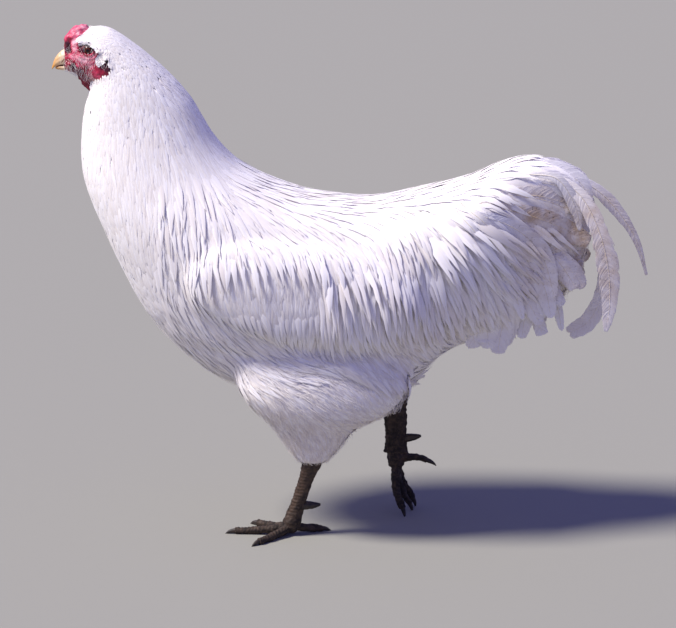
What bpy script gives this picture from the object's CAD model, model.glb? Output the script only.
"""A still, life-size white rooster: one bare skin under a coat of modelled feathers.

The bird faces -X and its left side is at -Y. The skin is made from the frame's own solids and lies under
them by the coat's depth. Feathers grow from it along a field of guides, so that their tips reach the solids'
surface. Lengths are millimetres in the tables and metres in the meshes.
"""

import logging
import math
from dataclasses import dataclass, field, fields, replace
from enum import IntEnum

import bpy
import numpy as np
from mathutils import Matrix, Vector
from mathutils.bvhtree import BVHTree


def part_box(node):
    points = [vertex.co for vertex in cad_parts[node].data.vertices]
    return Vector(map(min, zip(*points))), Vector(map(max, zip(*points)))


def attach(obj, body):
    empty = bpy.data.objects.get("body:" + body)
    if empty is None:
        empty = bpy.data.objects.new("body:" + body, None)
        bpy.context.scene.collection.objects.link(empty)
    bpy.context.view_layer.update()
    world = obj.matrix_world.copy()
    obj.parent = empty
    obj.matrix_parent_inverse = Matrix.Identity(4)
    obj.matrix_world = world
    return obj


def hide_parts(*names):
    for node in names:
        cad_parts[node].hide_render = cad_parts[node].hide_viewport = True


MM = 0.001
BAKE_MAP = "OFBake"
VANE_MAP = "Vane"
PATCH = 0.003  # a feather's width on the bake's map
SIDES = {"left": -1.0, "right": 1.0}
ROOT_BODY = "root"
# Parts of nodes that come up again. A Mix blends its inputs 6 and 7 by input 0, and a MapRange takes input 0
# from the range of inputs 1 and 2 to that of 3 and 4.
COLOURS = {"data_type": "RGBA"}
TIMES = {"operation": "MULTIPLY"}
PLUS = {"operation": "ADD"}
NUMBER = 2  # the output of an Attribute node that holds one number
MIXED = 2  # the output of a Mix node that holds a colour

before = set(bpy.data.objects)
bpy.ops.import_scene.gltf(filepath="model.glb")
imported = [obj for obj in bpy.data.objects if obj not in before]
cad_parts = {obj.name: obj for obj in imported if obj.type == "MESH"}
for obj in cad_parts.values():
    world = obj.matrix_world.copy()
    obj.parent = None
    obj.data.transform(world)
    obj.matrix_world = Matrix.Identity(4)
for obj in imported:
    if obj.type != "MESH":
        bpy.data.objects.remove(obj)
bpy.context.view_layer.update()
LOG = logging.getLogger("rooster")


# Small tools.


def linear(code: str) -> tuple[float, float, float, float]:
    """Turns an sRGB hex colour to linear.

    Args:
        code: six hex digits.

    Returns:
        Red, green, blue and alpha.
    """
    parts = [int(code[i : i + 2], 16) / 255 for i in (0, 2, 4)]
    red, green, blue = (c / 12.92 if c <= 0.04045 else ((c + 0.055) / 1.055) ** 2.4 for c in parts)
    return red, green, blue, 1.0


def feed(node: bpy.types.Node, values: dict) -> None:
    """Sets up a node and its links.

    Args:
        node: the node.
        values: what each input, by name or number, or each property, by name, gets. A socket is linked.
    """
    for key, value in values.items():
        if not isinstance(key, int) and key not in node.inputs:
            setattr(node, key, value)
        elif isinstance(value, bpy.types.NodeSocket):
            node.id_data.links.new(value, node.inputs[key])
        else:
            node.inputs[key].default_value = value


def add_node(
    tree: bpy.types.NodeTree, kind: str, values: dict | None = None, output: int | str = 0
) -> bpy.types.NodeSocket:
    """Adds a node.

    Args:
        tree: the material's node tree.
        kind: the node's type, without its common start.
        values: its settings and links, as feed takes them.
        output: the output that is wanted.

    Returns:
        That output.
    """
    node = tree.nodes.new("ShaderNode" + kind)
    feed(node, values or {})
    return node.outputs[output]


def new_material(name: str) -> tuple[bpy.types.Material, bpy.types.NodeTree, bpy.types.Node]:
    """Adds a material.

    Args:
        name: its name.

    Returns:
        The material, its node tree and its Principled shader.
    """
    made = bpy.data.materials.new(name)
    made.use_nodes = True
    return made, made.node_tree, made.node_tree.nodes["Principled BSDF"]


def unit(vectors: np.ndarray) -> np.ndarray:
    """The vectors at length one."""
    return vectors / np.maximum(np.linalg.norm(vectors, axis=-1, keepdims=True), 1e-12)


def smoothstep(low: float, high: float, value: np.ndarray) -> np.ndarray:
    """A soft step from 0 at low to 1 at high."""
    t = np.clip((value - low) / (high - low), 0, 1)
    return t * t * (3 - 2 * t)


def catmull_rom(points: np.ndarray, count: int) -> np.ndarray:
    """A smooth curve through points.

    Args:
        points: the points, one to a row.
        count: how many points the curve gets.

    Returns:
        The curve's points, evenly spread over its parameter.
    """
    points = np.asarray(points, float)
    padded = np.vstack([2 * points[0] - points[1], points, 2 * points[-1] - points[-2]])
    t = np.linspace(0, len(points) - 1, count)
    i = np.minimum(t.astype(int), len(points) - 2)
    u = (t - i)[:, None]
    a, b, c, d = padded[i], padded[i + 1], padded[i + 2], padded[i + 3]
    return 0.5 * (2 * b + (c - a) * u + (2 * a - 5 * b + 4 * c - d) * u**2 + (3 * b - a - 3 * c + d) * u**3)


def box_of(node: str) -> tuple[np.ndarray, np.ndarray]:
    """The low and the high corner of a CAD node's box."""
    low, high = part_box(node)
    return np.array(low), np.array(high)


def share_of(node: str, points: np.ndarray) -> np.ndarray:
    """Points as shares of a CAD node's box."""
    low, high = box_of(node)
    return (points - low) / (high - low)


def place_in(node: str, along: float, out: float, up: float, side: float) -> np.ndarray:
    """A place given by shares of a CAD node's box.

    Args:
        node: the node's name.
        along: share from its front to its back.
        out: share from the bird's middle, or the node's inner side, outwards.
        up: share from its lowest to its highest.
        side: -1 for the bird's left, 1 for its right.

    Returns:
        The place in metres.
    """
    low, high = box_of(node)
    inner, outer = sorted((abs(low[1]), abs(high[1])))
    if low[1] < 0 < high[1]:
        inner = 0.0
    y = side * (inner + (outer - inner) * out)
    return np.array([low[0] + (high[0] - low[0]) * along, y, low[2] + (high[2] - low[2]) * up])


def read(items: bpy.types.bpy_prop_collection, name: str, width: int = 1, kind: type = int) -> np.ndarray:
    """One property of many items.

    Args:
        items: the items.
        name: the property's name.
        width: how many numbers each item has.
        kind: the numbers' type.

    Returns:
        The numbers, with a row for each item where it has several.
    """
    flat = np.empty(len(items) * width, kind)
    items.foreach_get(name, flat)
    return flat.reshape(-1, width) if width > 1 else flat


def points_of(obj: bpy.types.Object) -> np.ndarray:
    """An object's vertices as rows."""
    return read(obj.data.vertices, "co", 3, float)


def normals_of(obj: bpy.types.Object) -> np.ndarray:
    """An object's vertex normals as rows."""
    return read(obj.data.vertex_normals, "vector", 3, np.float32).astype(float)


def move_points(obj: bpy.types.Object, points: np.ndarray) -> None:
    """Gives an object's vertices new places."""
    obj.data.vertices.foreach_set("co", points.ravel())
    obj.data.update()


def write_attribute(mesh: bpy.types.Mesh, name: str, values: np.ndarray) -> None:
    """Stores one number at each vertex."""
    found = mesh.attributes.get(name) or mesh.attributes.new(name, "FLOAT", "POINT")
    found.data.foreach_set("value", values.astype(np.float32))


def select_only(*objects: bpy.types.Object) -> None:
    """Selects some objects and nothing else.

    Args:
        *objects: the objects; the first becomes the active one.
    """
    bpy.ops.object.select_all(action="DESELECT")
    for obj in objects:
        obj.select_set(True)
    bpy.context.view_layer.objects.active = objects[0]


def edit_all(obj: bpy.types.Object) -> None:
    """Opens an object in edit mode with its whole mesh selected.

    Args:
        obj: the object.
    """
    select_only(obj)
    bpy.ops.object.mode_set(mode="EDIT")
    bpy.ops.mesh.select_all(action="SELECT")


def apply_modifier(obj: bpy.types.Object, kind: str, **settings: float | str) -> None:
    """Adds a modifier and applies it.

    Args:
        obj: the object.
        kind: the modifier's type.
        **settings: its settings.
    """
    select_only(obj)
    modifier = obj.modifiers.new(kind.lower(), kind)
    for key, value in settings.items():
        setattr(modifier, key, value)
    bpy.ops.object.modifier_apply(modifier=modifier.name)


def grown_anew(obj: bpy.types.Object, voxel: float, passes: int) -> None:
    """Turns a mesh into one closed, even surface.

    Args:
        obj: the object.
        voxel: the new faces' size.
        passes: how often it is smoothed.
    """
    apply_modifier(obj, "REMESH", mode="VOXEL", voxel_size=voxel)
    apply_modifier(obj, "SMOOTH", factor=0.5, iterations=passes)


def join_copies(nodes: tuple[str, ...], name: str) -> bpy.types.Object:
    """Copies CAD nodes' meshes, closed and free of the frame, into one object.

    Args:
        nodes: the nodes' names.
        name: the object's name.

    Returns:
        The object.
    """
    copies = []
    for node in nodes:
        made = bpy.data.objects.new(f"{name}_{node}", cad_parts[node].data.copy())
        made.data.materials.clear()
        bpy.context.scene.collection.objects.link(made)
        edit_all(made)
        bpy.ops.mesh.remove_doubles(threshold=0.01 * MM)
        bpy.ops.object.mode_set(mode="OBJECT")
        copies.append(made)
    select_only(*copies)
    if len(copies) > 1:
        bpy.ops.object.join()
    made = bpy.context.view_layer.objects.active
    made.name = made.data.name = name
    return made


def finish_piece(obj: bpy.types.Object, material: bpy.types.Material, slot: str, *nodes: str) -> None:
    """Dresses a piece, hangs it on the frame and reports it.

    Args:
        obj: the piece.
        material: its finish.
        slot: the record's material slot.
        *nodes: the CAD nodes it stands for.
    """
    obj.data.materials.clear()
    obj.data.materials.append(material)
    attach(obj, ROOT_BODY)
    if nodes:
        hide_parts(*nodes)
    triangles = sum(len(p.vertices) - 2 for p in obj.data.polygons)
    LOG.info("%s: %d triangles, stands for %s", obj.name, triangles, ", ".join(nodes) or "nothing")


# Finishes.


@dataclass(frozen=True)
class FeatherFinish:
    """White feather vanes: keratin barbs, which scatter light softly and show a fine slant from the shaft."""

    name: str = "white_feather_keratin"
    vane: str = "fbf9fb"
    shade: str = "efe9e6"
    shaft: str = "f0e8d6"
    soil: str = "bd9f78"
    dirt: str = "3b3029"
    barb_spacing: float = 0.9  # mm; real barbs stand too close together to show, so these are coarser
    barb_height: float = 0.02  # mm
    closed_patch: float = 3.8  # mm across a patch where the barbs lie closed
    stain: float = 11.0  # mm across
    grit: float = 2.4  # mm between specks of soil
    shaft_half_width: float = 0.45  # mm
    roughness: float = 0.62

    def material(self) -> bpy.types.Material:
        """Builds the finish from the vane's own map, in millimetres, and the piece's attributes.

        Returns:
            The material.
        """
        made, tree, shader = new_material(self.name)
        tint, shaft_share, soil = (
            add_node(tree, "Attribute", {"attribute_name": name}, NUMBER)
            for name in ("tint", "shaft", "soil")
        )
        spot = add_node(tree, "UVMap", {"uv_map": VANE_MAP})
        off, along, _ = add_node(tree, "SeparateXYZ", {0: spot}).node.outputs
        off_shaft = add_node(tree, "Math", {"operation": "ABSOLUTE", 0: off})
        swept = add_node(tree, "Math", TIMES | {0: off_shaft, 1: -1.4})
        slanted = add_node(tree, "Math", PLUS | {0: along, 1: swept})
        phase = add_node(tree, "Math", TIMES | {0: slanted, 1: 2 * math.pi / self.barb_spacing})
        barbs = add_node(tree, "Math", {"operation": "SINE", 0: phase})
        place = add_node(tree, "TexCoord", output="Object")
        uneven = add_node(tree, "TexNoise", {0: place, "Scale": 1 / (self.closed_patch * MM), "Detail": 3.0})
        broken = add_node(tree, "MapRange", {0: uneven, 1: 0.35, 2: 0.65})
        height = add_node(tree, "Math", TIMES | {0: barbs, 1: broken})
        relief = add_node(
            tree, "Bump", {"Strength": 0.6, "Distance": self.barb_height * MM, "Height": height}
        )
        half = self.shaft_half_width
        on_shaft = add_node(tree, "MapRange", {0: off_shaft, 1: half * 0.6, 2: half * 1.6, 3: 1.0, 4: 0.0})
        shaft = add_node(tree, "Math", TIMES | {0: on_shaft, 1: shaft_share})
        vane = add_node(tree, "Mix", COLOURS | {0: tint, 6: linear(self.vane), 7: linear(self.shade)}, MIXED)
        lined = add_node(tree, "Mix", COLOURS | {0: shaft, 6: vane, 7: linear(self.shaft)}, MIXED)
        cloud = add_node(tree, "TexNoise", {0: place, "Scale": 1 / (self.stain * MM), "Detail": 4.0})
        patchy = add_node(tree, "MapRange", {0: cloud, 1: 0.38, 2: 0.62, 3: 0.5, 4: 1.0})
        soiled = add_node(tree, "Math", TIMES | {0: patchy, 1: soil})
        tanned = add_node(tree, "Mix", COLOURS | {0: soiled, 6: lined, 7: linear(self.soil)}, MIXED)
        grains = add_node(tree, "TexNoise", {0: place, "Scale": 1 / (self.grit * MM), "Detail": 3.0})
        speck = add_node(tree, "MapRange", {0: grains, 1: 0.64, 2: 0.68, 3: 0.0, 4: 1.0})
        spotted = add_node(tree, "Math", TIMES | {0: speck, 1: soiled})
        dirty = add_node(tree, "Mix", COLOURS | {0: spotted, 6: tanned, 7: linear(self.dirt)}, MIXED)
        feed(shader, {"Base Color": dirty, "Normal": relief, "Roughness": self.roughness})
        feed(shader, {"Sheen Weight": 0.15, "Specular IOR Level": 0.3})
        return made


@dataclass(frozen=True)
class FleshFinish:
    """Bare skin: blood-red and pebbled on comb, face and wattles, pale under the feathers, faintly moist."""

    name: str = "bare_poultry_skin"
    pale: str = "f3e9e8"
    blanched: str = "eeb6c2"
    pink: str = "da5876"
    red: str = "ae2040"
    dark_red: str = "680f26"
    crimson: str = "260820"
    pebble: float = 1.6  # mm across
    pebble_height: float = 0.35  # mm
    mottle: float = 6.2  # mm across
    roughness: float = 0.46

    def material(self) -> bpy.types.Material:
        """Builds the finish from the attributes bare and flush and a pebble pattern.

        Returns:
            The material.
        """
        made, tree, shader = new_material(self.name)
        place = add_node(tree, "TexCoord", output="Object")
        flush, bare = (
            add_node(tree, "Attribute", {"attribute_name": name}, NUMBER) for name in ("flush", "bare")
        )
        cloud = add_node(tree, "TexNoise", {0: place, "Scale": 1 / (self.mottle * MM), "Detail": 5.0})
        drift = add_node(tree, "MapRange", {0: cloud, 1: 0.3, 2: 0.7, 3: -0.12, 4: 0.12})
        mixed = add_node(tree, "Math", PLUS | {"use_clamp": True, 0: flush, 1: drift})
        ramp = add_node(tree, "ValToRGB", {0: mixed})
        stops = ramp.node.color_ramp.elements
        stops[0].color = linear(self.blanched)
        stops[1].color = linear(self.crimson)
        for share, colour in ((0.25, self.pink), (0.5, self.red), (0.75, self.dark_red)):
            stops.new(share).color = linear(colour)
        shown = add_node(tree, "MapRange", {0: bare, 1: 0.05, 2: 0.45})
        colour = add_node(tree, "Mix", COLOURS | {0: shown, 6: linear(self.pale), 7: ramp}, MIXED)
        pebbles = add_node(
            tree,
            "TexVoronoi",
            {"feature": "SMOOTH_F1", 0: place, "Scale": 1 / (self.pebble * MM), "Smoothness": 0.6},
        )
        height = add_node(tree, "Math", TIMES | {0: pebbles, 1: bare})
        hollow = {"Strength": 0.7, "Distance": self.pebble_height * MM, "invert": True}
        relief = add_node(tree, "Bump", hollow | {"Height": height})
        feed(shader, {"Base Color": colour, "Normal": relief, "Roughness": self.roughness})
        return made


# The field of guides: where feathers point, and how large they are.


class Trait(IntEnum):
    """A guide's numbers: the first four are millimetres, and pointed and loose go from 0 to 1."""

    LENGTH = 0
    WIDTH = 1
    SPACING = 2
    DEPTH = 3
    POINTED = 4
    LOOSE = 5


@dataclass(frozen=True)
class Guide:
    """What feathers are like near one place of the bird."""

    place: tuple[float, float, float]  # shares of the CAD node's box: along, out and up
    heading: tuple[float, float, float]  # along, outwards and up
    traits: tuple[float, float, float, float, float, float]  # in the order of Trait


GUIDES = {
    # Head: short scale feathers that sweep back and down.
    "head": (
        Guide((0.05, 0.0, 0.85), (0.8, 0.0, 0.6), (4.5, 2.6, 1.9, 0.8, 0.3, 0.1)),
        Guide((0.55, 0.0, 1.0), (1.0, 0.1, 0.1), (6.5, 3.2, 2.2, 1.3, 0.4, 0.1)),
        Guide((0.55, 0.8, 0.85), (1.0, 0.1, -0.1), (6.0, 3.0, 2.1, 1.2, 0.4, 0.1)),
        Guide((0.95, 0.9, 0.6), (0.8, 0.2, -0.7), (9.0, 3.6, 2.5, 1.8, 0.5, 0.15)),
        Guide((0.62, 0.9, 0.2), (0.5, 0.3, -1.0), (6.0, 3.0, 2.2, 1.4, 0.4, 0.15)),
        Guide((0.64, 0.95, 0.54), (-0.35, 0.15, -1.0), (5.5, 3.0, 1.3, 1.8, 0.3, 0.3)),
        Guide((0.5, 0.0, 0.02), (0.4, 0.0, -1.0), (7.0, 3.2, 2.3, 1.6, 0.4, 0.15)),
    ),
    # Neck: hackle, long and pointed.
    "neck": (
        Guide((0.22, 0.0, 1.0), (0.8, 0.0, -0.6), (18, 4.6, 3.2, 3.0, 0.7, 0.15)),
        Guide((0.56, 0.0, 0.69), (0.62, 0.0, -0.78), (48, 6.5, 4.4, 6.0, 0.9, 0.15)),
        Guide((0.89, 0.0, 0.31), (0.78, 0.0, -0.62), (60, 7.5, 5.0, 7.0, 1.0, 0.15)),
        Guide((0.07, 0.0, 0.74), (-0.15, 0.0, -1.0), (13, 4.6, 3.2, 3.0, 0.5, 0.15)),
        Guide((0.01, 0.0, 0.47), (-0.02, 0.0, -1.0), (28, 6.5, 4.6, 5.0, 0.6, 0.15)),
        Guide((0.05, 0.0, 0.15), (0.16, 0.0, -1.0), (32, 9.0, 6.2, 7.0, 0.3, 0.15)),
        Guide((0.21, 0.4, 0.76), (0.2, 0.15, -1.0), (24, 4.8, 3.4, 4.0, 0.7, 0.15)),
        Guide((0.3, 0.62, 0.5), (0.1, 0.1, -1.0), (46, 5.8, 4.2, 6.0, 0.9, 0.2)),
        Guide((0.56, 0.6, 0.48), (0.35, 0.05, -0.95), (56, 6.2, 4.4, 6.0, 1.0, 0.15)),
        Guide((0.45, 0.9, 0.2), (0.1, 0.05, -1.0), (58, 6.2, 4.6, 8.0, 1.0, 0.25)),
    ),
    # Trunk: small rounded feathers on the breast, broad ones on the back, pointed ones on the saddle.
    "trunk": (
        Guide((0.01, 0.0, 0.7), (0.35, 0.0, -1.0), (32, 8, 6.2, 8.0, 0.5, 0.2)),
        Guide((0.11, 0.0, 0.37), (0.7, 0.0, -0.72), (32, 8.5, 6.6, 8.0, 0.5, 0.2)),
        Guide((0.32, 0.0, 0.07), (0.95, 0.0, -0.3), (32, 8.5, 6.6, 8.0, 0.5, 0.3)),
        Guide((0.63, 0.0, 0.0), (1.0, 0.0, 0.0), (30, 10, 7.0, 8.0, 0.3, 0.6)),
        Guide((0.83, 0.2, 0.1), (0.9, 0.0, 0.15), (34, 9, 6.5, 8.0, 0.4, 0.7)),
        Guide((0.17, 0.92, 0.7), (0.14, 0.0, -1.0), (36, 7.5, 5.2, 8.0, 0.7, 0.25)),
        Guide((0.24, 0.95, 0.33), (0.6, 0.0, -0.8), (32, 7.5, 6.0, 8.0, 0.5, 0.25)),
        Guide((0.49, 0.95, 0.22), (0.97, 0.0, -0.2), (34, 10, 6.4, 6.0, 0.2, 0.25)),
        Guide((0.49, 0.0, 0.93), (1.0, 0.0, -0.05), (34, 10, 6.6, 7.0, 0.3, 0.1)),
        Guide((0.45, 0.65, 0.84), (0.55, 0.1, -0.8), (40, 8.5, 6.0, 7.0, 0.5, 0.15)),
        Guide((0.79, 0.0, 0.95), (1.0, 0.0, 0.1), (44, 9.0, 6.2, 7.0, 0.7, 0.1)),
        Guide((0.74, 0.7, 0.8), (0.45, 0.1, -0.9), (60, 8.0, 5.6, 8.0, 1.0, 0.15)),
        Guide((0.74, 0.86, 0.58), (0.12, 0.0, -1.0), (72, 8.5, 6.4, 10.0, 1.0, 0.3)),
        Guide((0.93, 0.6, 0.7), (0.5, 0.0, -0.87), (66, 9.5, 6.6, 9.0, 1.0, 0.3)),
        Guide((0.8, 0.8, 0.25), (0.6, 0.0, -0.75), (34, 13, 7.0, 6.0, 0.1, 0.35)),
    ),
    # Folded wings: the fringed feathers of the bow and coverts hang over the flank.
    "wing_left": (
        Guide((0.1, 1.0, 0.75), (0.12, 0.0, -1.0), (38, 6.0, 4.4, 5.0, 0.8, 0.25)),
        Guide((0.5, 1.0, 0.6), (0.04, 0.0, -1.0), (40, 5.4, 4.2, 5.0, 0.9, 0.35)),
        Guide((0.9, 1.0, 0.5), (0.1, 0.0, -1.0), (60, 8.0, 5.6, 6.0, 1.0, 0.25)),
        Guide((0.5, 1.0, 0.05), (-0.02, 0.0, -1.0), (34, 5.2, 4.2, 4.0, 0.8, 0.45)),
    ),
    # Tail: broad coverts above, loose fluff below.
    "tail": (
        Guide((0.3, 0.0, 1.0), (1.0, 0.0, 0.0), (56, 13, 8.5, 6.0, 0.7, 0.1)),
        Guide((0.85, 0.0, 0.9), (0.8, 0.0, -0.6), (60, 13, 8.5, 4.0, 0.7, 0.1)),
        Guide((0.3, 0.8, 0.82), (0.85, 0.05, -0.5), (66, 12, 8.0, 8.0, 0.9, 0.2)),
        Guide((0.45, 0.8, 0.5), (0.7, 0.05, -0.7), (60, 14, 8.5, 7.0, 0.7, 0.3)),
        Guide((0.25, 0.8, 0.3), (0.45, 0.0, -0.9), (40, 15, 8.0, 6.0, 0.1, 0.4)),
        Guide((0.8, 0.4, 0.45), (0.6, 0.05, -0.8), (50, 13, 8.0, 4.0, 0.6, 0.3)),
        Guide((0.35, 0.0, 0.05), (0.5, 0.0, -0.85), (36, 12, 8.0, 6.0, 0.3, 0.7)),
    ),
    # Thighs: soft and close, frayed in front and at the hock.
    "thigh_left": (
        Guide((0.15, 0.9, 0.8), (0.85, 0.0, -0.5), (34, 9, 5.6, 5.0, 0.2, 0.2)),
        Guide((0.55, 1.0, 0.6), (0.75, 0.0, -0.65), (34, 9, 5.6, 5.0, 0.2, 0.2)),
        Guide((0.2, 0.8, 0.4), (0.3, 0.0, -1.0), (28, 6, 4.6, 5.0, 0.6, 0.5)),
        Guide((0.85, 0.8, 0.6), (0.6, 0.0, -0.8), (30, 8, 5.4, 5.0, 0.3, 0.4)),
        Guide((0.42, 0.6, 0.1), (0.25, 0.0, -1.0), (17, 4.6, 3.4, 3.2, 0.5, 0.5)),
    ),
    "thigh_right": (
        Guide((0.2, 0.9, 0.8), (0.8, 0.0, -0.6), (38, 8, 6.0, 6.0, 0.6, 0.4)),
        Guide((0.6, 0.9, 0.6), (0.6, 0.0, -0.8), (32, 8, 5.6, 6.0, 0.3, 0.5)),
        Guide((0.7, 0.6, 0.15), (0.1, 0.0, -1.0), (17, 5, 3.6, 3.2, 0.5, 0.5)),
    ),
}


class Field:
    """Blends the guides into a heading and a set of traits at any point."""

    nearness: float = 14 * MM  # within this of a guide, the guide alone counts
    batch: int = 20000  # points read at a time

    def __init__(self) -> None:
        """Sets out the guides, with those of the left side mirrored."""
        places, headings, traits = [], [], []
        for name, guides in GUIDES.items():
            sides = [SIDES[name.split("_")[1]]] if name.startswith("thigh") else SIDES.values()
            for guide in guides:
                for side in sides:
                    node = name.replace("left", "right") if side > 0 else name
                    places.append(place_in(node, *guide.place, side=side))
                    ahead, out, up = guide.heading
                    headings.append((ahead, side * out, up))
                    traits.append(guide.traits)
        self.places = np.array(places)
        self.headings = unit(np.array(headings))
        self.traits = np.array(traits)

    def at(self, points: np.ndarray) -> tuple[np.ndarray, np.ndarray]:
        """Reads the field.

        Args:
            points: places in metres, one to a row.

        Returns:
            The headings, not yet laid on the skin, and the traits in millimetres.
        """
        headings, traits = [], []
        for rows in np.array_split(points, max(1, len(points) // self.batch)):
            apart = ((rows[:, None] - self.places[None]) ** 2).sum(2)
            weight = 1 / (apart + self.nearness**2) ** 2.5
            weight /= weight.sum(1, keepdims=True)
            headings.append(weight @ self.headings)
            traits.append(weight @ self.traits)
        return unit(np.vstack(headings)), np.vstack(traits)


# The skin.

BARE_NODES = ("comb", "wattle_left", "wattle_right", "ear_lobe_left", "ear_lobe_right")
FLESH = (
    "head", "neck", "trunk", "tail", "wing_left", "wing_right", "thigh_left", "thigh_right", *BARE_NODES
)
HEAD, NECK, COMB = (FLESH.index(name) for name in ("head", "neck", "comb"))


class Solids:
    """The solids of the flesh in one search tree, which tells the node nearest to a point."""

    def __init__(self, nodes: tuple[str, ...]) -> None:
        """Reads the nodes' triangles.

        Args:
            nodes: the nodes' names.
        """
        corners, owners = [], []
        for number, node in enumerate(nodes):
            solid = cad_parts[node]
            solid.data.calc_loop_triangles()
            index = read(solid.data.loop_triangles, "vertices", 3)
            corners.append(points_of(solid)[index.ravel()])
            owners += [number] * len(index)
        where = np.vstack(corners)
        self.tree = BVHTree.FromPolygons(where.tolist(), np.arange(len(where)).reshape(-1, 3).tolist())
        self.owners = np.array(owners)

    def owner(self, points: np.ndarray) -> np.ndarray:
        """The number of the nearest node for each point."""
        return self.owners[[self.tree.find_nearest(p)[2] for p in points.tolist()]]


def ripple(points: np.ndarray, size: float, seed: int, waves: int = 10) -> np.ndarray:
    """Soft, irregular bumps.

    Args:
        points: places in metres.
        size: the bumps' rough size in metres.
        seed: picks the pattern.
        waves: how many plane waves add up.

    Returns:
        Heights of about -1 to 1.
    """
    rng = np.random.default_rng(seed)
    way = unit(rng.normal(0, 1, (waves, 3))) * (math.pi / size) * rng.uniform(0.7, 1.4, (waves, 1))
    return np.sin(points @ way.T + rng.uniform(0, 6.28, waves)).sum(1) / math.sqrt(waves / 2) * 0.7


@dataclass(frozen=True)
class Fold:
    """A fold or a groove along a curve in side view, all in mm."""

    curve: tuple[tuple[float, float], ...]
    height: float
    half_width: float

    def height_at(self, x: np.ndarray, z: np.ndarray) -> np.ndarray:
        """Its height in mm.

        Args:
            x: places along the bird in mm.
            z: their heights.

        Returns:
            The fold's height at each.
        """
        line = catmull_rom(np.array(self.curve, float), 24)
        away = np.hypot(x[:, None] - line[:, 0], z[:, None] - line[:, 1]).min(1)
        return np.exp(-((away / self.half_width) ** 2)) * self.height


# Grooves of the left flank, along the bird and up.
CREASES = (
    Fold(((-110.0, 190.0), (-40.0, 185.0), (30.0, 185.0)), 9.0, 38.0),
    Fold(((-167.0, 227.0), (-67.0, 208.0), (-12.0, 201.0), (21.0, 185.0)), 4.0, 6.0),
)

# Folds of the face, from the eye's middle.
FOLDS = (
    Fold(((-22.5, 13.0), (-22.5, 4.0), (-21.5, -5.0)), -1.8, 1.6),  # between comb and face
    Fold(((-14.0, 6.0), (-6.0, 8.8), (3.0, 8.4), (10.0, 4.6)), 2.0, 2.2),  # brow
    Fold(((-25.0, -14.0), (-19.0, -16.5), (-14.0, -21.0)), -1.3, 1.2),  # corner of the mouth
    Fold(((-21.0, -10.0), (-15.0, -13.5), (-11.0, -19.0)), 0.9, 1.6),
    Fold(((-10.0, -6.5), (-3.0, -9.5), (5.0, -8.5), (11.0, -3.5)), 0.9, 1.5),  # below the lower lid
    Fold(((-14.0, -9.0), (-5.0, -13.5), (4.0, -14.0), (11.0, -10.0)), 0.7, 1.6),
    Fold(((-12.0, -18.0), (-4.0, -21.0), (4.0, -22.0), (11.0, -18.0)), 0.8, 1.8),
    Fold(((8.0, -2.0), (15.0, -3.5), (20.5, -9.0), (18.0, -18.0)), 0.9, 1.6),  # round the ear
)

# The skin's colour near places behind and above the eye's middle in mm: 0 is blanched, 0.5 red and 1
# crimson. The last number is the reach in mm.
BLUSHES = (
    (-14.7, 22.2, 0.20, 5),  # comb
    (-24.8, 14.0, 0.30, 5),
    (-5.7, 28.6, 0.14, 5),
    (-22.0, 10.5, 0.75, 2.5),  # fold between comb and face
    (-22.5, 4.7, 0.95, 2.5),
    (-22.0, -1.0, 0.92, 2.5),
    (-16.4, 7.0, 0.02, 3),  # lore
    (-15.2, 1.7, 0.10, 2.5),
    (-7.9, 4.7, 0.90, 2.5),  # brow and lids
    (-7.0, 0.0, 0.85, 2.5),
    (0.0, 6.5, 0.98, 3),
    (6.5, 3.0, 0.90, 2.5),
    (-3.5, -5.5, 0.50, 2),
    (5.0, -6.0, 0.22, 2),
    (8.5, -2.3, 0.55, 2),
    (-10.2, -9.9, 0.10, 3),  # cheek
    (-4.0, -9.5, 0.06, 3),
    (1.0, -12.0, 0.18, 3),
    (5.5, -11.5, 0.32, 2.5),
    (-17.5, -8.8, 0.20, 2.5),  # mouth
    (-18.5, -13.0, 0.65, 2),
    (-20.0, -15.0, 0.35, 1.5),
    (-16.4, -18.7, 0.92, 2.5),
    (-12.4, -16.9, 0.25, 2),
    (-2.5, -20.0, 0.70, 2.5),  # jaw
    (2.0, -16.8, 0.12, 2),
    (0.0, -25.0, 0.46, 3),
    (6.5, -27.0, 0.42, 3),
    (9.0, -16.4, 0.48, 2.5),
    (-10.2, -28.6, 0.74, 4),  # wattle
    (-5.7, -34.0, 0.70, 4),
    (-1.0, -39.0, 0.72, 4),
    (11.5, -20.0, 0.58, 2.5),  # ear lobe
    (11.1, -27.0, 0.34, 2),
    (17.0, -24.0, 0.58, 3),
    (17.3, -13.5, 0.85, 2.5),
    (20.5, -18.5, 0.84, 3),
    (24.6, -15.8, 1.0, 3),
    (22.5, -9.0, 1.0, 3),
    (20.0, -4.0, 0.95, 3),
)


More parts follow.
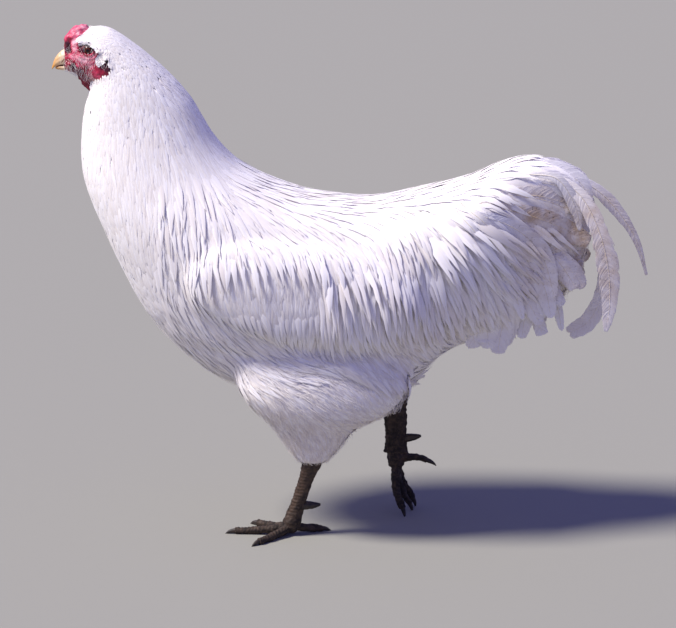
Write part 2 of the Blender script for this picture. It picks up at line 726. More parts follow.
@dataclass
class Face:
    """The forms of the bare head: lids, brow, folds, comb, wattles and ear lobes."""

    lid_long: float = 1.12  # the eye's opening against a circle
    lid_high: float = 0.86
    lid_inner: float = 3.9
    lid_crest: float = 5.2
    lid_outer: float = 8.2
    lid_height: float = 1.7
    lid_crease: float = 7.0
    eye_depth: float = 6.0
    cheek: tuple[float, float] = (8.5, 12.0)  # the ring round the eye that gives the head's own level
    collar: float = 0.6  # how far the skin laps over the bill's root

    def model(
        self, points: np.ndarray, normals: np.ndarray, owner: np.ndarray, bare: np.ndarray
    ) -> np.ndarray:
        """Moves the skin's points into the forms of the face.

        Args:
            points: the skin's points.
            normals: its normals.
            owner: the nearest node of each point.
            bare: how bare each point is.

        Returns:
            The new points.
        """
        on_head = owner == HEAD
        height = ripple(points, 3.4 * MM, 1) * 0.30 * MM * bare
        height += ripple(points, 1.5 * MM, 2) * 0.14 * MM * bare
        height += np.where(owner == COMB, ripple(points, 4.5 * MM, 3) * 0.55 * MM, 0)
        for side in SIDES.values():
            x, z, out = self.beside_eye(points, side)
            here = (out > 0) & on_head
            for fold in FOLDS:
                height += np.where(here, fold.height_at(x, z) * MM, 0)
        moved = points + normals * (height * np.maximum(bare, 0.0))[:, None]
        for side in SIDES.values():
            moved = self.open_lids(moved, side, on_head)
        return self.lap_bill(moved, on_head)

    def beside_eye(self, points: np.ndarray, side: float) -> tuple[np.ndarray, np.ndarray, np.ndarray]:
        """Measures points from one eye.

        Args:
            points: the points.
            side: -1 for the left eye, 1 for the right.

        Returns:
            In mm, how far they lie behind and above the eye's middle, and out from the bird's.
        """
        low, high = box_of("eye_left" if side < 0 else "eye_right")
        middle = (low + high) / 2
        return (points[:, 0] - middle[0]) / MM, (points[:, 2] - middle[2]) / MM, points[:, 1] * side / MM

    def open_lids(self, points: np.ndarray, side: float, on_head: np.ndarray) -> np.ndarray:
        """Shapes the lids round one eye, and takes the skin behind the eyeball inside them.

        Args:
            points: the skin's points.
            side: -1 for the left eye, 1 for the right.
            on_head: whether each point is on the head.

        Returns:
            The new points.
        """
        x, z, out = self.beside_eye(points, side)
        away = np.hypot(x / self.lid_long, z / self.lid_high)
        near, far = self.cheek
        ring = on_head & (out > 4) & (np.hypot(x, z) > near) & (np.hypot(x, z) < far)
        terms = np.stack([np.ones_like(x), x, z, x**2, z**2, x * z], 1)
        fit, *_ = np.linalg.lstsq(terms[ring], out[ring], rcond=None)
        level = sum(terms[:, k] * fit[k] for k in range(6))
        rise = smoothstep(self.lid_outer, self.lid_crest, away) * self.lid_height
        fall = smoothstep(self.lid_crest, self.lid_inner, away) * self.eye_depth
        crease = np.exp(-(((away - self.lid_crease) / 0.55) ** 2)) * 0.35
        shaped = level + rise - crease - fall
        around = on_head & (out > 2) & (away < self.lid_outer + 2)
        blend = np.where(around, smoothstep(self.lid_outer + 1.5, self.lid_outer - 1.0, away), 0)
        result = points.copy()
        result[:, 1] = side * (out * (1 - blend) + shaped * blend) * MM
        return result

    def lap_bill(self, points: np.ndarray, on_head: np.ndarray) -> np.ndarray:
        """Draws the front of the skin forward over the bill's root.

        Args:
            points: the skin's points.
            on_head: whether each point is on the head.

        Returns:
            The new points.
        """
        share = smoothstep(3.0 * MM, 0.0, points[:, 0] - box_of("head")[0][0]) * on_head
        result = points.copy()
        result[:, 0] -= share * self.collar * MM
        return result

    def flush(self, points: np.ndarray) -> np.ndarray:
        """Blends the colours of the bare skin.

        Args:
            points: the skin's points.

        Returns:
            The colour at each, from 0 to 1.
        """
        total, weights = np.zeros(len(points)), np.zeros(len(points))
        x, z, _ = self.beside_eye(points, -1.0)
        for along, up, colour, reach in BLUSHES:
            away = ((x - along) ** 2 + (z - up) ** 2) / reach**2
            weight = 1 / (0.15 + away) ** 2
            total += weight * colour
            weights += weight
        return total / weights


@dataclass
class Skin:
    """The one bare skin, with comb, face, wattles and ear lobes, under the coat by the coat's depth."""

    field: Field
    voxel: float = 2.95 * MM
    overlap: float = 0.5 * MM  # bridges the thin cuts between the solids
    sink_steps: int = 4
    # The edge of the bare face, in shares of the head's box along and up.
    face_edge: tuple = (
        (-0.2, 1.2), (0.36, 1.01), (0.21, 0.93), (0.147, 0.83), (0.218, 0.76), (0.298, 0.80), (0.43, 0.77),
        (0.53, 0.71), (0.646, 0.68), (0.752, 0.60), (0.835, 0.48), (0.845, 0.38), (0.79, 0.28),
        (0.665, 0.21), (0.557, 0.15), (0.468, 0.07), (0.414, -0.02), (-0.2, -0.02),
    )
    edge_softness: float = 0.02
    ear: tuple = (0.645, 0.545, 0.10, 0.066)  # the feathered ear: along, up, and its half sizes, tilted
    # The tail's lower edge, along and up in mm: the skin leaves out the blades below it.
    tail_edge: tuple = ((97, 200), (132, 217), (166, 219), (199, 241), (232, 266), (255, 298), (275, 340))

    def build(self) -> None:
        """Makes the skin."""
        self.solids = Solids(FLESH)
        self.obj = join_copies(FLESH, "skin")
        points = points_of(self.obj) + normals_of(self.obj) * self.overlap
        edge_x, edge_z = np.array(self.tail_edge, float).T * MM
        points[:, 2] = np.maximum(points[:, 2], np.interp(points[:, 0], edge_x, edge_z, left=-1.0))
        move_points(self.obj, points)
        grown_anew(self.obj, self.voxel, 4)
        self.join_thighs()
        self.sink()
        self.refine_head()
        self.unwrap()
        self.obj.data.shade_smooth()
        finish_piece(self.obj, FleshFinish().material(), "comb_flesh", *FLESH)

    def bareness(self, points: np.ndarray, inset: float = 0.0) -> np.ndarray:
        """How bare the skin of the head is: 1 on the face, 0 where feathers grow.

        Args:
            points: places in metres.
            inset: moves the face's edge inwards by this share of the head.

        Returns:
            One share for each point.
        """
        share = share_of("head", points)
        along, up = share[:, 0], share[:, 2]
        edge = np.array(self.face_edge)
        inside = np.zeros(len(points), bool)
        nearest = np.full(len(points), 9.0)
        for (x0, z0), (x1, z1) in zip(edge, np.roll(edge, -1, 0)):
            reach = x0 + (up - z0) * (x1 - x0) / (z1 - z0 + 1e-9)
            inside ^= ((z0 > up) != (z1 > up)) & (along < reach)
            t = ((along - x0) * (x1 - x0) + (up - z0) * (z1 - z0)) / ((x1 - x0) ** 2 + (z1 - z0) ** 2)
            t = np.clip(t, 0, 1)
            nearest = np.minimum(nearest, np.hypot(along - x0 - t * (x1 - x0), up - z0 - t * (z1 - z0)))
        soft = self.edge_softness
        bare = smoothstep(inset - soft, inset + soft, np.where(inside, nearest, -nearest))
        x, z, half_long, half_short = self.ear
        ear = np.hypot((along - x + up - z) / half_long, (along - x - up + z) / half_short) / math.sqrt(2)
        return bare * smoothstep(0.85, 1.1, ear)

    def regions(self, points: np.ndarray, inset: float = 0.0) -> tuple[np.ndarray, np.ndarray]:
        """Tells what each point belongs to.

        Args:
            points: places in metres.
            inset: moves the face's edge inwards by this share of the head.

        Returns:
            The nearest node's number, and how bare the skin is.
        """
        owner = self.solids.owner(points)
        near_face = (owner == HEAD) | (owner == NECK)
        return owner, np.where(owner >= COMB, 1.0, np.where(near_face, self.bareness(points, inset), 0.0))

    def join_thighs(self) -> None:
        """Evens out the step where each thigh leaves the flank."""
        points = points_of(self.obj)
        for side_name, side in SIDES.items():
            low, high = box_of(f"thigh_{side_name}")
            level = smoothstep(38 * MM, 22 * MM, np.abs(points[:, 2] - high[2] + 8 * MM))
            along = smoothstep(low[0] - 30 * MM, low[0], points[:, 0])
            along *= smoothstep(high[0] + 30 * MM, high[0], points[:, 0])
            self.soften(level * along * smoothstep(40 * MM, 60 * MM, points[:, 1] * side), 60)

    def sink(self) -> None:
        """Moves the skin in by the coat's depth, softly, and leaves the bare parts where they are."""
        points = points_of(self.obj)
        _, bare = self.regions(points)
        _, traits = self.field.at(points)
        depth = traits[:, Trait.DEPTH] * MM * (1 - bare)
        aside = np.abs(normals_of(self.obj)[:, 1])
        for crease in CREASES:
            groove = crease.height_at(points[:, 0] / MM, points[:, 2] / MM) * MM
            depth += np.where(points[:, 1] < -20 * MM, groove * aside, 0)
        for _ in range(self.sink_steps):
            points = points_of(self.obj) - normals_of(self.obj) * (depth / self.sink_steps)[:, None]
            move_points(self.obj, points)
            self.soften(1 - bare, 2)

    def soften(self, where: np.ndarray, times: int) -> None:
        """Evens out the surface by moving each vertex towards its neighbours.

        Args:
            where: how much, from 0 to 1, for each vertex.
            times: how often.
        """
        mesh = self.obj.data
        edges = read(mesh.edges, "vertices", 2)
        a, b = edges.T
        count = np.bincount(edges.ravel(), minlength=len(mesh.vertices))[:, None]
        points = points_of(self.obj)
        for _ in range(times):
            total = np.zeros_like(points)
            for axis in range(3):
                total[:, axis] = np.bincount(a, points[b, axis], len(points))
                total[:, axis] += np.bincount(b, points[a, axis], len(points))
            points += (total / count - points) * (0.5 * where)[:, None]
        move_points(self.obj, points)

    def refine_head(self) -> None:
        """Makes the mesh finer on the bare parts, then models lids, folds and pebbles there."""
        for _ in range(2):
            _, bare = self.regions(points_of(self.obj))
            self.split_faces(bare > 0.1)
        owner, bare = self.regions(points_of(self.obj))
        self.soften(bare * 0.8, 3)
        face = Face()
        points = face.model(points_of(self.obj), normals_of(self.obj), owner, bare)
        move_points(self.obj, points)
        self.soften(bare * 0.35, 1)
        write_attribute(self.obj.data, "bare", bare)
        write_attribute(self.obj.data, "flush", face.flush(points))

    def split_faces(self, chosen: np.ndarray) -> None:
        """Halves the edges of every face that has a chosen vertex.

        Args:
            chosen: whether each vertex is.
        """
        mesh = self.obj.data
        index, start = read(mesh.loops, "vertex_index"), read(mesh.polygons, "loop_start")
        edit_all(self.obj)
        bpy.ops.mesh.select_mode(type="FACE")
        bpy.ops.mesh.select_all(action="DESELECT")
        bpy.ops.object.mode_set(mode="OBJECT")
        mesh.polygons.foreach_set("select", np.logical_or.reduceat(chosen[index], start))
        bpy.ops.object.mode_set(mode="EDIT")
        bpy.ops.mesh.subdivide(number_cuts=1, smoothness=0.0)
        bpy.ops.object.mode_set(mode="OBJECT")

    def unwrap(self) -> None:
        """Lays the skin flat, as the map the feathers' patches are placed on."""
        self.obj.data.uv_layers.new(name=BAKE_MAP)
        edit_all(self.obj)
        bpy.ops.uv.smart_project(angle_limit=math.radians(66), island_margin=0.001)
        bpy.ops.object.mode_set(mode="OBJECT")


class Ground:
    """The skin as feathers need it: its nearest point, its normal and its place on the unwrap."""

    def __init__(self, skin: Skin) -> None:
        """Reads the skin's triangles.

        Args:
            skin: the skin.
        """
        mesh = skin.obj.data
        mesh.calc_loop_triangles()
        self.points, self.normals = points_of(skin.obj), normals_of(skin.obj)
        self.corners = read(mesh.loop_triangles, "vertices", 3)
        flat = read(mesh.uv_layers[BAKE_MAP].uv, "vector", 2, np.float32)
        self.flat = flat[read(mesh.loop_triangles, "loops", 3)]
        self.tree = BVHTree.FromPolygons(self.points.tolist(), self.corners.tolist())

    def parts(self, face: np.ndarray, points: np.ndarray) -> np.ndarray:
        """The shares of a triangle's corners in points that lie on it.

        Args:
            face: each point's triangle.
            points: the points.

        Returns:
            Three shares for each point.
        """
        a, b, c = self.corners_of(face)
        ab, ac, ap = b - a, c - a, points - a
        d00, d01, d11 = (ab * ab).sum(1), (ab * ac).sum(1), (ac * ac).sum(1)
        d20, d21 = (ap * ab).sum(1), (ap * ac).sum(1)
        scale = np.maximum(d00 * d11 - d01 * d01, 1e-30)
        v, w = (d11 * d20 - d01 * d21) / scale, (d00 * d21 - d01 * d20) / scale
        return np.clip(np.stack([1 - v - w, v, w], 1), 0, 1)[:, :, None]

    def corners_of(self, faces: np.ndarray) -> tuple[np.ndarray, ...]:
        """The first, second and third corners of triangles."""
        return tuple(self.points[self.corners[faces, k]] for k in range(3))

    def normal_at(self, face: np.ndarray, parts: np.ndarray) -> np.ndarray:
        """The smooth normals on triangles, from the shares of their corners."""
        return unit((self.normals[self.corners[face]] * parts).sum(1))

    def find(self, points: np.ndarray) -> tuple[np.ndarray, np.ndarray, np.ndarray]:
        """Finds the skin's nearest points.

        Args:
            points: places in metres.

        Returns:
            The points, their triangles and the shares of those corners.
        """
        found = [self.tree.find_nearest(p) for p in points.tolist()]
        where = np.array([f[0][:] for f in found])
        face = np.array([f[2] for f in found])
        return where, face, self.parts(face, where)

    def nearest(self, points: np.ndarray) -> tuple[np.ndarray, np.ndarray]:
        """The nearest points of the skin and its smooth normals there."""
        where, face, parts = self.find(points)
        return where, self.normal_at(face, parts)

    def flat_at(self, points: np.ndarray) -> np.ndarray:
        """The places on the unwrap of the skin's points nearest to these."""
        _, face, parts = self.find(points)
        return (self.flat[face] * parts).sum(1)

    def scatter(self, rng: np.random.Generator, count: int, faces: np.ndarray) -> tuple[np.ndarray, ...]:
        """Random points on some of the skin's triangles.

        Args:
            rng: the source of random numbers.
            count: how many points.
            faces: the triangles' numbers.

        Returns:
            The points, their normals and their places on the unwrap.
        """
        a, b, c = self.corners_of(faces)
        area = np.linalg.norm(np.cross(b - a, c - a), axis=1)
        face = faces[rng.choice(len(faces), count, p=area / area.sum())]
        u, v = rng.random(count), rng.random(count)
        flip = u + v > 1
        u[flip], v[flip] = 1 - u[flip], 1 - v[flip]
        parts = np.stack([1 - u - v, u, v], 1)[:, :, None]
        where = (self.points[self.corners[face]] * parts).sum(1)
        return where, self.normal_at(face, parts), (self.flat[face] * parts).sum(1)


# Feathers.


@dataclass
class Vanes:
    """Many feathers of one build: each a closed, arched blade along its own path."""

    centre: np.ndarray  # feathers, rows, 3
    across: np.ndarray
    normal: np.ndarray
    left: np.ndarray  # half widths: feathers, rows
    right: np.ndarray
    arch: np.ndarray
    root_map: np.ndarray  # feathers, 2
    tint: np.ndarray
    soil: np.ndarray  # feathers, rows
    shaft: np.ndarray
    columns: int = 3
    sweep: float = 0.0  # how far an edge lies ahead of the shaft, for each unit of width

    @classmethod
    def joined(cls, batches: list["Vanes"]) -> "Vanes":
        """Puts batches of unswept feathers with as many rows together."""
        names = [item.name for item in fields(cls) if item.name not in ("columns", "sweep")]
        return cls(**{name: np.concatenate([getattr(batch, name) for batch in batches]) for name in names})

    def mesh(self, name: str) -> bpy.types.Object:
        """Joins the feathers into one object.

        Args:
            name: the object's name.

        Returns:
            The object, with the bake's map, the vane's map and its attributes.
        """
        count, rows, _ = self.centre.shape
        cross = np.linspace(-1, 1, self.columns)
        width = np.where(cross[None, None] < 0, self.left[..., None], self.right[..., None])
        off = width * cross
        ahead = unit(np.gradient(self.centre, axis=1))
        lift = self.arch[..., None] * (1 - cross**2)
        where = (
            self.centre[:, :, None]
            + self.across[:, :, None] * off[..., None]
            + self.normal[:, :, None] * lift[..., None]
            + ahead[:, :, None] * (np.abs(off) * self.sweep)[..., None]
        )
        steps = np.linalg.norm(np.diff(self.centre, axis=1), axis=2)
        along = np.concatenate([np.zeros((count, 1)), np.cumsum(steps, 1)], 1)
        ring = self.columns
        base = np.arange(count * rows * ring).reshape(count, rows, ring)
        following = np.roll(base, -1, axis=2)
        quads = np.stack([base[:, :-1], following[:, :-1], following[:, 1:], base[:, 1:]], -1).reshape(-1, 4)
        index = np.concatenate([quads.ravel(), base[:, 0, ::-1].ravel(), base[:, -1].ravel()])
        sizes = np.concatenate([np.full(len(quads), 4), np.full(2 * count, ring)])
        mesh = bpy.data.meshes.new(name)
        mesh.vertices.add(where.size // 3)
        mesh.vertices.foreach_set("co", where.ravel())
        mesh.loops.add(len(index))
        mesh.loops.foreach_set("vertex_index", index.astype(np.int32))
        mesh.polygons.add(len(sizes))
        mesh.polygons.foreach_set("loop_start", (np.cumsum(sizes) - sizes).astype(np.int32))
        mesh.update(calc_edges=True)
        self.write_maps(mesh, index, off, along, cross)
        mesh.shade_smooth()
        mesh.set_sharp_from_angle(angle=math.radians(60))
        obj = bpy.data.objects.new(name, mesh)
        bpy.context.scene.collection.objects.link(obj)
        return obj

    def write_maps(
        self, mesh: bpy.types.Mesh, index: np.ndarray, off: np.ndarray, along: np.ndarray, cross: np.ndarray
    ) -> None:
        """Writes the two maps and the attributes.

        Args:
            mesh: the joined mesh.
            index: each loop's vertex.
            off: distance from the shaft, by feather, row and column.
            along: distance from the root, by feather and row.
            cross: share of the half width, by column.
        """
        low, high = self.root_map.min(0), self.root_map.max(0)
        home = PATCH + (self.root_map - low) / np.maximum(high - low, 1e-6) * (1 - 2 * PATCH)
        share = along / np.maximum(along[:, -1:], 1e-9)
        patch = np.empty((*off.shape, 2))
        patch[..., 0] = home[:, 0, None, None] + PATCH / 2 * cross
        bow = (1 - cross**2) / 6  # gives the closed ends a width on the map
        patch[..., 1] = home[:, 1, None, None] + PATCH * (0.9 * share[..., None] - 0.5 + bow)
        spot = np.stack(np.broadcast_arrays(off / MM, along[..., None] / MM), -1)
        for name, values in ((BAKE_MAP, patch), (VANE_MAP, spot)):
            layer = mesh.uv_layers.new(name=name, do_init=False)
            layer.uv.foreach_set("vector", values.reshape(-1, 2)[index].astype(np.float32).ravel())
        tint, shaft = self.tint[:, None, None], self.shaft[:, None, None]
        for name, values in (("tint", tint), ("soil", self.soil[..., None]), ("shaft", shaft)):
            write_attribute(mesh, name, np.broadcast_to(values, off.shape).ravel())


@dataclass(frozen=True)
class Tract:
    """The feathers of one area of the bird, in one piece."""

    name: str
    nodes: tuple[str, ...]
    seed: int
    side: float = 0.0  # -1 left only, 1 right only, 0 both
    along: tuple[float, float] = (-9.0, 9.0)  # the share of the first node's length
    up: tuple[float, float] = (-9.0, 9.0)
    rows: int = 8
    wisp: float = 0.0  # mm between loose barbs; 0 for whole feathers
    lift: float = 0.0  # mm that the tips stand off the coat
    cling: float = 0.75  # how closely a feather follows the body; low ones hang free
    size: tuple[float, float, float] = (0.0, 0.0, 0.0)  # length, width and spacing in mm, where set
    on_face: bool = False  # on the bare skin


# Pointed feathers whose tips hang free, made once for each side.
FRINGES = (
    Tract(
        "wing_fringe", ("wing_left", "wing_right"), 101, up=(-9, 0.42), rows=7, lift=2.6, cling=0.12,
        size=(40, 6.5, 5.2),
    ),
    Tract(
        "saddle_fringe", ("trunk", "wing_left", "wing_right"), 103, along=(0.55, 0.83), up=(0.48, 0.68),
        rows=9, lift=7.0, cling=0.08, size=(66, 7.0, 6.4),
    ),
    Tract(
        "rear_fringe", ("trunk", "tail"), 109, along=(0.80, 1.08), up=(0.60, 0.82), rows=9, lift=8.0,
        cling=0.08, size=(72, 7.5, 8.0),
    ),
    Tract(
        "cape_fringe", ("neck", "trunk"), 105, along=(0.40, 9), up=(-9, 0.40), rows=9, lift=2.2, cling=0.3,
        size=(58, 7.5, 7.5),
    ),
    Tract(
        "rump_fringe", ("tail", "trunk"), 107, along=(-0.12, 0.30), up=(0.42, 0.76), rows=9, lift=4.5,
        cling=0.16, size=(84, 11, 8.5),
    ),
)

TRACTS = (
    Tract("head_feathers", ("head",), 11, rows=6),
    Tract("face_bristles", ("head",), 12, rows=5, lift=0.5, cling=0.3, on_face=True, size=(3.2, 0.35, 1.7)),
    Tract(
        "ear_tufts", ("head",), 13, along=(0.52, 0.77), up=(0.42, 0.68), rows=5, lift=0.8, cling=0.3,
        size=(4.2, 1.2, 0.9),
    ),
    Tract("hackle_left", ("neck",), 21, side=-1),
    Tract("hackle_right", ("neck",), 22, side=1),
    Tract("breast_feathers", ("trunk",), 31, along=(-9, 0.34)),
    Tract("back_and_belly_feathers", ("trunk",), 32, along=(0.34, 0.66)),
    Tract("saddle_feathers", ("trunk",), 33, along=(0.66, 9), rows=9),
    Tract("wing_feathers_left", ("wing_left",), 41),
    Tract("wing_feathers_right", ("wing_right",), 42),
    Tract("tail_coverts", ("tail",), 51, along=(-9, 0.62), rows=9),
    Tract("tail_end_coverts", ("tail",), 52, along=(0.62, 9), rows=7),
    Tract("thigh_feathers_left", ("thigh_left",), 61),
    Tract("thigh_feathers_right", ("thigh_right",), 62),
    *(
        replace(fringe, name=f"{fringe.name}_{name}", seed=fringe.seed + int(side > 0), side=side)
        for name, side in SIDES.items()
        for fringe in FRINGES
    ),
    Tract("thigh_barbs_left", ("thigh_left",), 91, rows=5, wisp=2.8, lift=2.5),
    Tract("thigh_barbs_right", ("thigh_right",), 92, rows=5, wisp=3.0, lift=2.5),
    Tract("belly_barbs", ("trunk",), 93, up=(-9, 0.42), rows=5, wisp=4.0, lift=2.0),
    Tract("rump_barbs", ("trunk", "tail"), 94, along=(0.8, 9), up=(-9, 0.75), rows=5, wisp=3.6, lift=2.0),
)


@dataclass
class Plumage:
    """Every small feather, rooted on the skin and laid along the field."""

    field: Field
    skin: Skin
    inset: float = 0.03  # how far feathers keep out of the bare face, as a share of the head
    face_edge_seed: int = 5
    face_edge: tuple[float, float] = (0.1, 0.95)  # the bareness at which feathers stop, at random
    face_bare: float = 0.3  # the bareness from which bristles grow
    crowd: float = 2.2  # feathers on a square of the field's spacing
    tries: int = 5  # random roots for each that stays
    variety: tuple[float, float] = (0.85, 1.15)  # of a feather's length and width
    proud: tuple[float, float] = (0.975, 1.0)  # of the coat's depth
    bunch: float = 1.25  # above 1, a feather's rows lie closer at its tip
    turn: float = 0.55  # how fast a feather takes the field's heading
    rise: float = 0.14  # below 1, a feather is soon at its full height and lies flat from there on
    tuck: float = 0.06  # how far the tip dips, as a share of the coat's depth
    arch: float = 0.12  # of the half width
    thickness: float = 0.12 * MM
    sweep: float = 0.5
    shaft_shows: float = 0.35
    wisp_size: tuple[float, float] = (0.8, 0.7)  # a loose barb's share of the length, and its width in mm
    wisp_loose: float = 0.9
    free_loose: float = 0.08  # of the feathers whose size is set
    finish: FeatherFinish = field(default_factory=FeatherFinish)

    def build(self) -> None:
        """Makes every tract."""
        self.ground = Ground(self.skin)
        self.material = self.finish.material()
        owner, bare = self.skin.regions(self.ground.points, self.inset)
        self.owner_at = owner[self.ground.corners[:, 0]]
        self.bare_at = bare[self.ground.corners].max(1)
        for tract in TRACTS:
            rng = np.random.default_rng(tract.seed)
            vanes = self.lay(tract, rng, *self.roots(tract, rng))
            finish_piece(vanes.mesh(tract.name), self.material, "plumage")

    def faces_of(self, tract: Tract) -> np.ndarray:
        """Finds the skin's triangles that a tract covers.

        Args:
            tract: the feathers' tract.

        Returns:
            The triangles' numbers.
        """
        middle = self.ground.points[self.ground.corners].mean(1)
        along, _, up = share_of(tract.nodes[0], middle).T
        edge = np.random.default_rng(self.face_edge_seed).uniform(*self.face_edge, len(self.bare_at))
        if tract.on_face:
            chosen = (self.bare_at > self.face_bare) & (self.owner_at == HEAD)
        else:
            owners = [FLESH.index(node) for node in tract.nodes]
            chosen = np.isin(self.owner_at, owners) & (self.bare_at < edge)
        chosen &= (along >= tract.along[0]) & (along < tract.along[1])
        chosen &= (up >= tract.up[0]) & (up < tract.up[1])
        if tract.side:
            chosen &= middle[:, 1] * tract.side > 0
        return np.flatnonzero(chosen)

    def roots(self, tract: Tract, rng: np.random.Generator) -> tuple[np.ndarray, ...]:
        """Finds roots that keep the field's spacing from each other.

        Args:
            tract: the feathers' tract.
            rng: the source of random numbers.

        Returns:
            Their points, the skin's normals, their places on the unwrap, and the traits there.
        """
        faces = self.faces_of(tract)
        a, b, c = self.ground.corners_of(faces)
        area = np.linalg.norm(np.cross(b - a, c - a), axis=1) / 2
        _, traits = self.field.at((a + b + c) / 3)
        wanted = (area / self.gap(tract, traits) ** 2).sum()
        where, normal, flat = self.ground.scatter(rng, int(wanted * self.tries), faces)
        _, traits = self.field.at(where)
        kept = spread(where, self.gap(tract, traits))
        traits = traits[kept]
        if tract.size[0]:
            traits[:, Trait.LENGTH], traits[:, Trait.WIDTH] = tract.size[:2]
            traits[:, Trait.POINTED], traits[:, Trait.LOOSE] = 1.0, self.free_loose
        if tract.wisp:
            shorter, width = self.wisp_size
            traits[:, Trait.LENGTH] *= shorter
            traits[:, Trait.WIDTH], traits[:, Trait.LOOSE] = width, self.wisp_loose
        return where[kept], normal[kept], flat[kept], traits

    def gap(self, tract: Tract, traits: np.ndarray) -> np.ndarray:
        """Finds the least distance between a tract's roots.

        Args:
            tract: the feathers' tract.
            traits: the field's traits at some places.

        Returns:
            The distance in metres at each place.
        """
        fixed = tract.wisp or tract.size[2]
        if fixed:
            return np.full(len(traits), fixed * MM)
        return traits[:, Trait.SPACING] * MM / math.sqrt(self.crowd)

    def lay(
        self, tract: Tract, rng: np.random.Generator, root: np.ndarray, normal: np.ndarray, flat: np.ndarray,
        traits: np.ndarray,
    ) -> Vanes:
        """Lays feathers over the skin from their roots.

        Args:
            tract: the feathers' tract.
            rng: the source of random numbers.
            root: the roots.
            normal: the skin's normals there.
            flat: the roots' places on the unwrap.
            traits: the field's traits there.

        Returns:
            The feathers.
        """
        count = len(root)
        length, width, _, _, pointed, loose = traits.T
        length = length * MM * rng.uniform(*self.variety, count)
        half = width * MM / 2 * rng.uniform(*self.variety, count)
        share = 1 - (1 - np.linspace(0, 1, tract.rows)) ** self.bunch
        drift = rng.normal(0, 1, count) * (0.05 + 0.22 * loose)
        proud = rng.uniform(*self.proud, count) + loose * rng.uniform(-0.04, 0.16, count)
        tuck = self.tuck * (1 - loose)
        turn = self.turn / (1 + tract.lift / 4)  # feathers that hang free bend less with the body
        centre, normals = [root], [normal]
        place, up = root, normal
        heading = self.heading(root, normal, drift)
        for before, here in zip(share, share[1:]):
            heading = unit(heading * (1 - turn) + self.heading(place, up, drift) * turn)
            place = place + heading * (length * (here - before))[:, None]
            on_skin, up = self.ground.nearest(place)
            _, there = self.field.at(place)
            profile = here**self.rise - tuck * smoothstep(0.7, 1.0, here)
            wanted = (there[:, Trait.DEPTH] * proud * profile + tract.lift * here**1.5) * MM
            height = ((place - on_skin) * up).sum(1)
            pull = np.where(height < wanted, 1.0, tract.cling * (1 - 0.5 * loose))
            place = place + up * ((wanted - height) * pull)[:, None]
            centre.append(place)
            normals.append(up)
        centre, normals = np.stack(centre, 1), np.stack(normals, 1)
        ahead = unit(np.gradient(centre, axis=1))
        level = unit(np.cross(normals, ahead))
        raised = unit(np.cross(ahead, level))
        roll = rng.normal(0, 1, (count, 1, 1)) * (0.02 + 0.14 * loose[:, None, None])
        outline = half[:, None] * vane_outline(share, pointed[:, None])
        left = outline * frayed(rng, outline.shape, loose)
        right = outline * frayed(rng, outline.shape, loose)
        return Vanes(
            centre=centre,
            across=level * np.cos(roll) + raised * np.sin(roll),
            normal=raised * np.cos(roll) - level * np.sin(roll),
            left=left,
            right=right,
            arch=np.maximum(left, right) * self.arch + self.thickness,
            root_map=flat,
            tint=rng.random(count) ** 1.5,
            soil=self.soil(centre),
            shaft=np.full(count, self.shaft_shows),
            sweep=self.sweep,
        )

    def heading(self, place: np.ndarray, up: np.ndarray, drift: np.ndarray) -> np.ndarray:
        """Lays the field's heading on the skin and turns it by each feather's own drift.

        Args:
            place: one point of each feather.
            up: the skin's normals there.
            drift: how far each feather turns aside.

        Returns:
            The headings.
        """
        heading, _ = self.field.at(place)
        heading = unit(heading - up * (heading * up).sum(1, keepdims=True))
        return unit(heading + np.cross(up, heading) * drift[:, None])

    def soil(self, points: np.ndarray) -> np.ndarray:
        """Tells how dirty feathers are: inside the tail's arch, and less so on fluff and hocks.

        Args:
            points: places in metres.

        Returns:
            A share for each point.
        """
        share = share_of("tail", points)
        along, up = share[..., 0], share[..., 2]
        inner = smoothstep(0.35, 0.6, along) * smoothstep(0.15, 0.4, up)
        inner *= 1 - smoothstep(0.75, 0.9, up)
        fluff = smoothstep(-0.6, 0.0, along) * smoothstep(0.5, 0.2, up)
        hock = smoothstep(180 * MM, 130 * MM, points[..., 2])
        return np.maximum(inner * 0.4, np.maximum(fluff * 0.16, hock * 0.2))


def vane_outline(share: np.ndarray, pointed: np.ndarray) -> np.ndarray:
    """A feather's half width along it, as a share of its widest.

    Args:
        share: places from root to tip.
        pointed: 0 for a round end, 1 for a long point.

    Returns:
        One row for each feather.
    """
    widest = 0.62 - 0.24 * pointed
    rise = np.clip(share / widest, 0, 1) ** 0.6
    fall = np.clip((share - widest) / (1 - widest), 0, 1)
    tip = np.maximum(1 - fall ** (2.6 - 1.3 * pointed), 0) ** (0.5 + 0.4 * pointed)
    return (0.4 + 0.6 * rise) * np.maximum(tip, 0.06)


def frayed(rng: np.random.Generator, shape: tuple[int, int], loose: np.ndarray) -> np.ndarray:
    """Factors that notch a feather's edge, the deeper the looser it is."""
    notch = (rng.random(shape) < 0.16 + 0.3 * loose[:, None]) * rng.uniform(0.2, 0.55, shape)
    return rng.uniform(0.88, 1.08, shape) * (1 - notch)


def spread(points: np.ndarray, gap: np.ndarray) -> np.ndarray:
    """Thins points out so that they keep their gap.

    Args:
        points: random points.
        gap: the least distance at each.

    Returns:
        The numbers of the points that stay.
    """
    cells = np.floor(points / float(gap.max())).astype(int).tolist()
    around = [(i, j, k) for i in (-1, 0, 1) for j in (-1, 0, 1) for k in (-1, 0, 1)]
    grid, kept = {}, []
    for number, (place, cell, least) in enumerate(zip(points.tolist(), cells, (gap**2).tolist())):
        (x, y, z), (i, j, k) = place, cell
        near = (p for a, b, c in around for p in grid.get((i + a, j + b, k + c), ()))
        if all((x - p[0]) ** 2 + (y - p[1]) ** 2 + (z - p[2]) ** 2 >= least for p in near):
            grid.setdefault((i, j, k), []).append((x, y, z))
            kept.append(number)
    return np.array(kept)


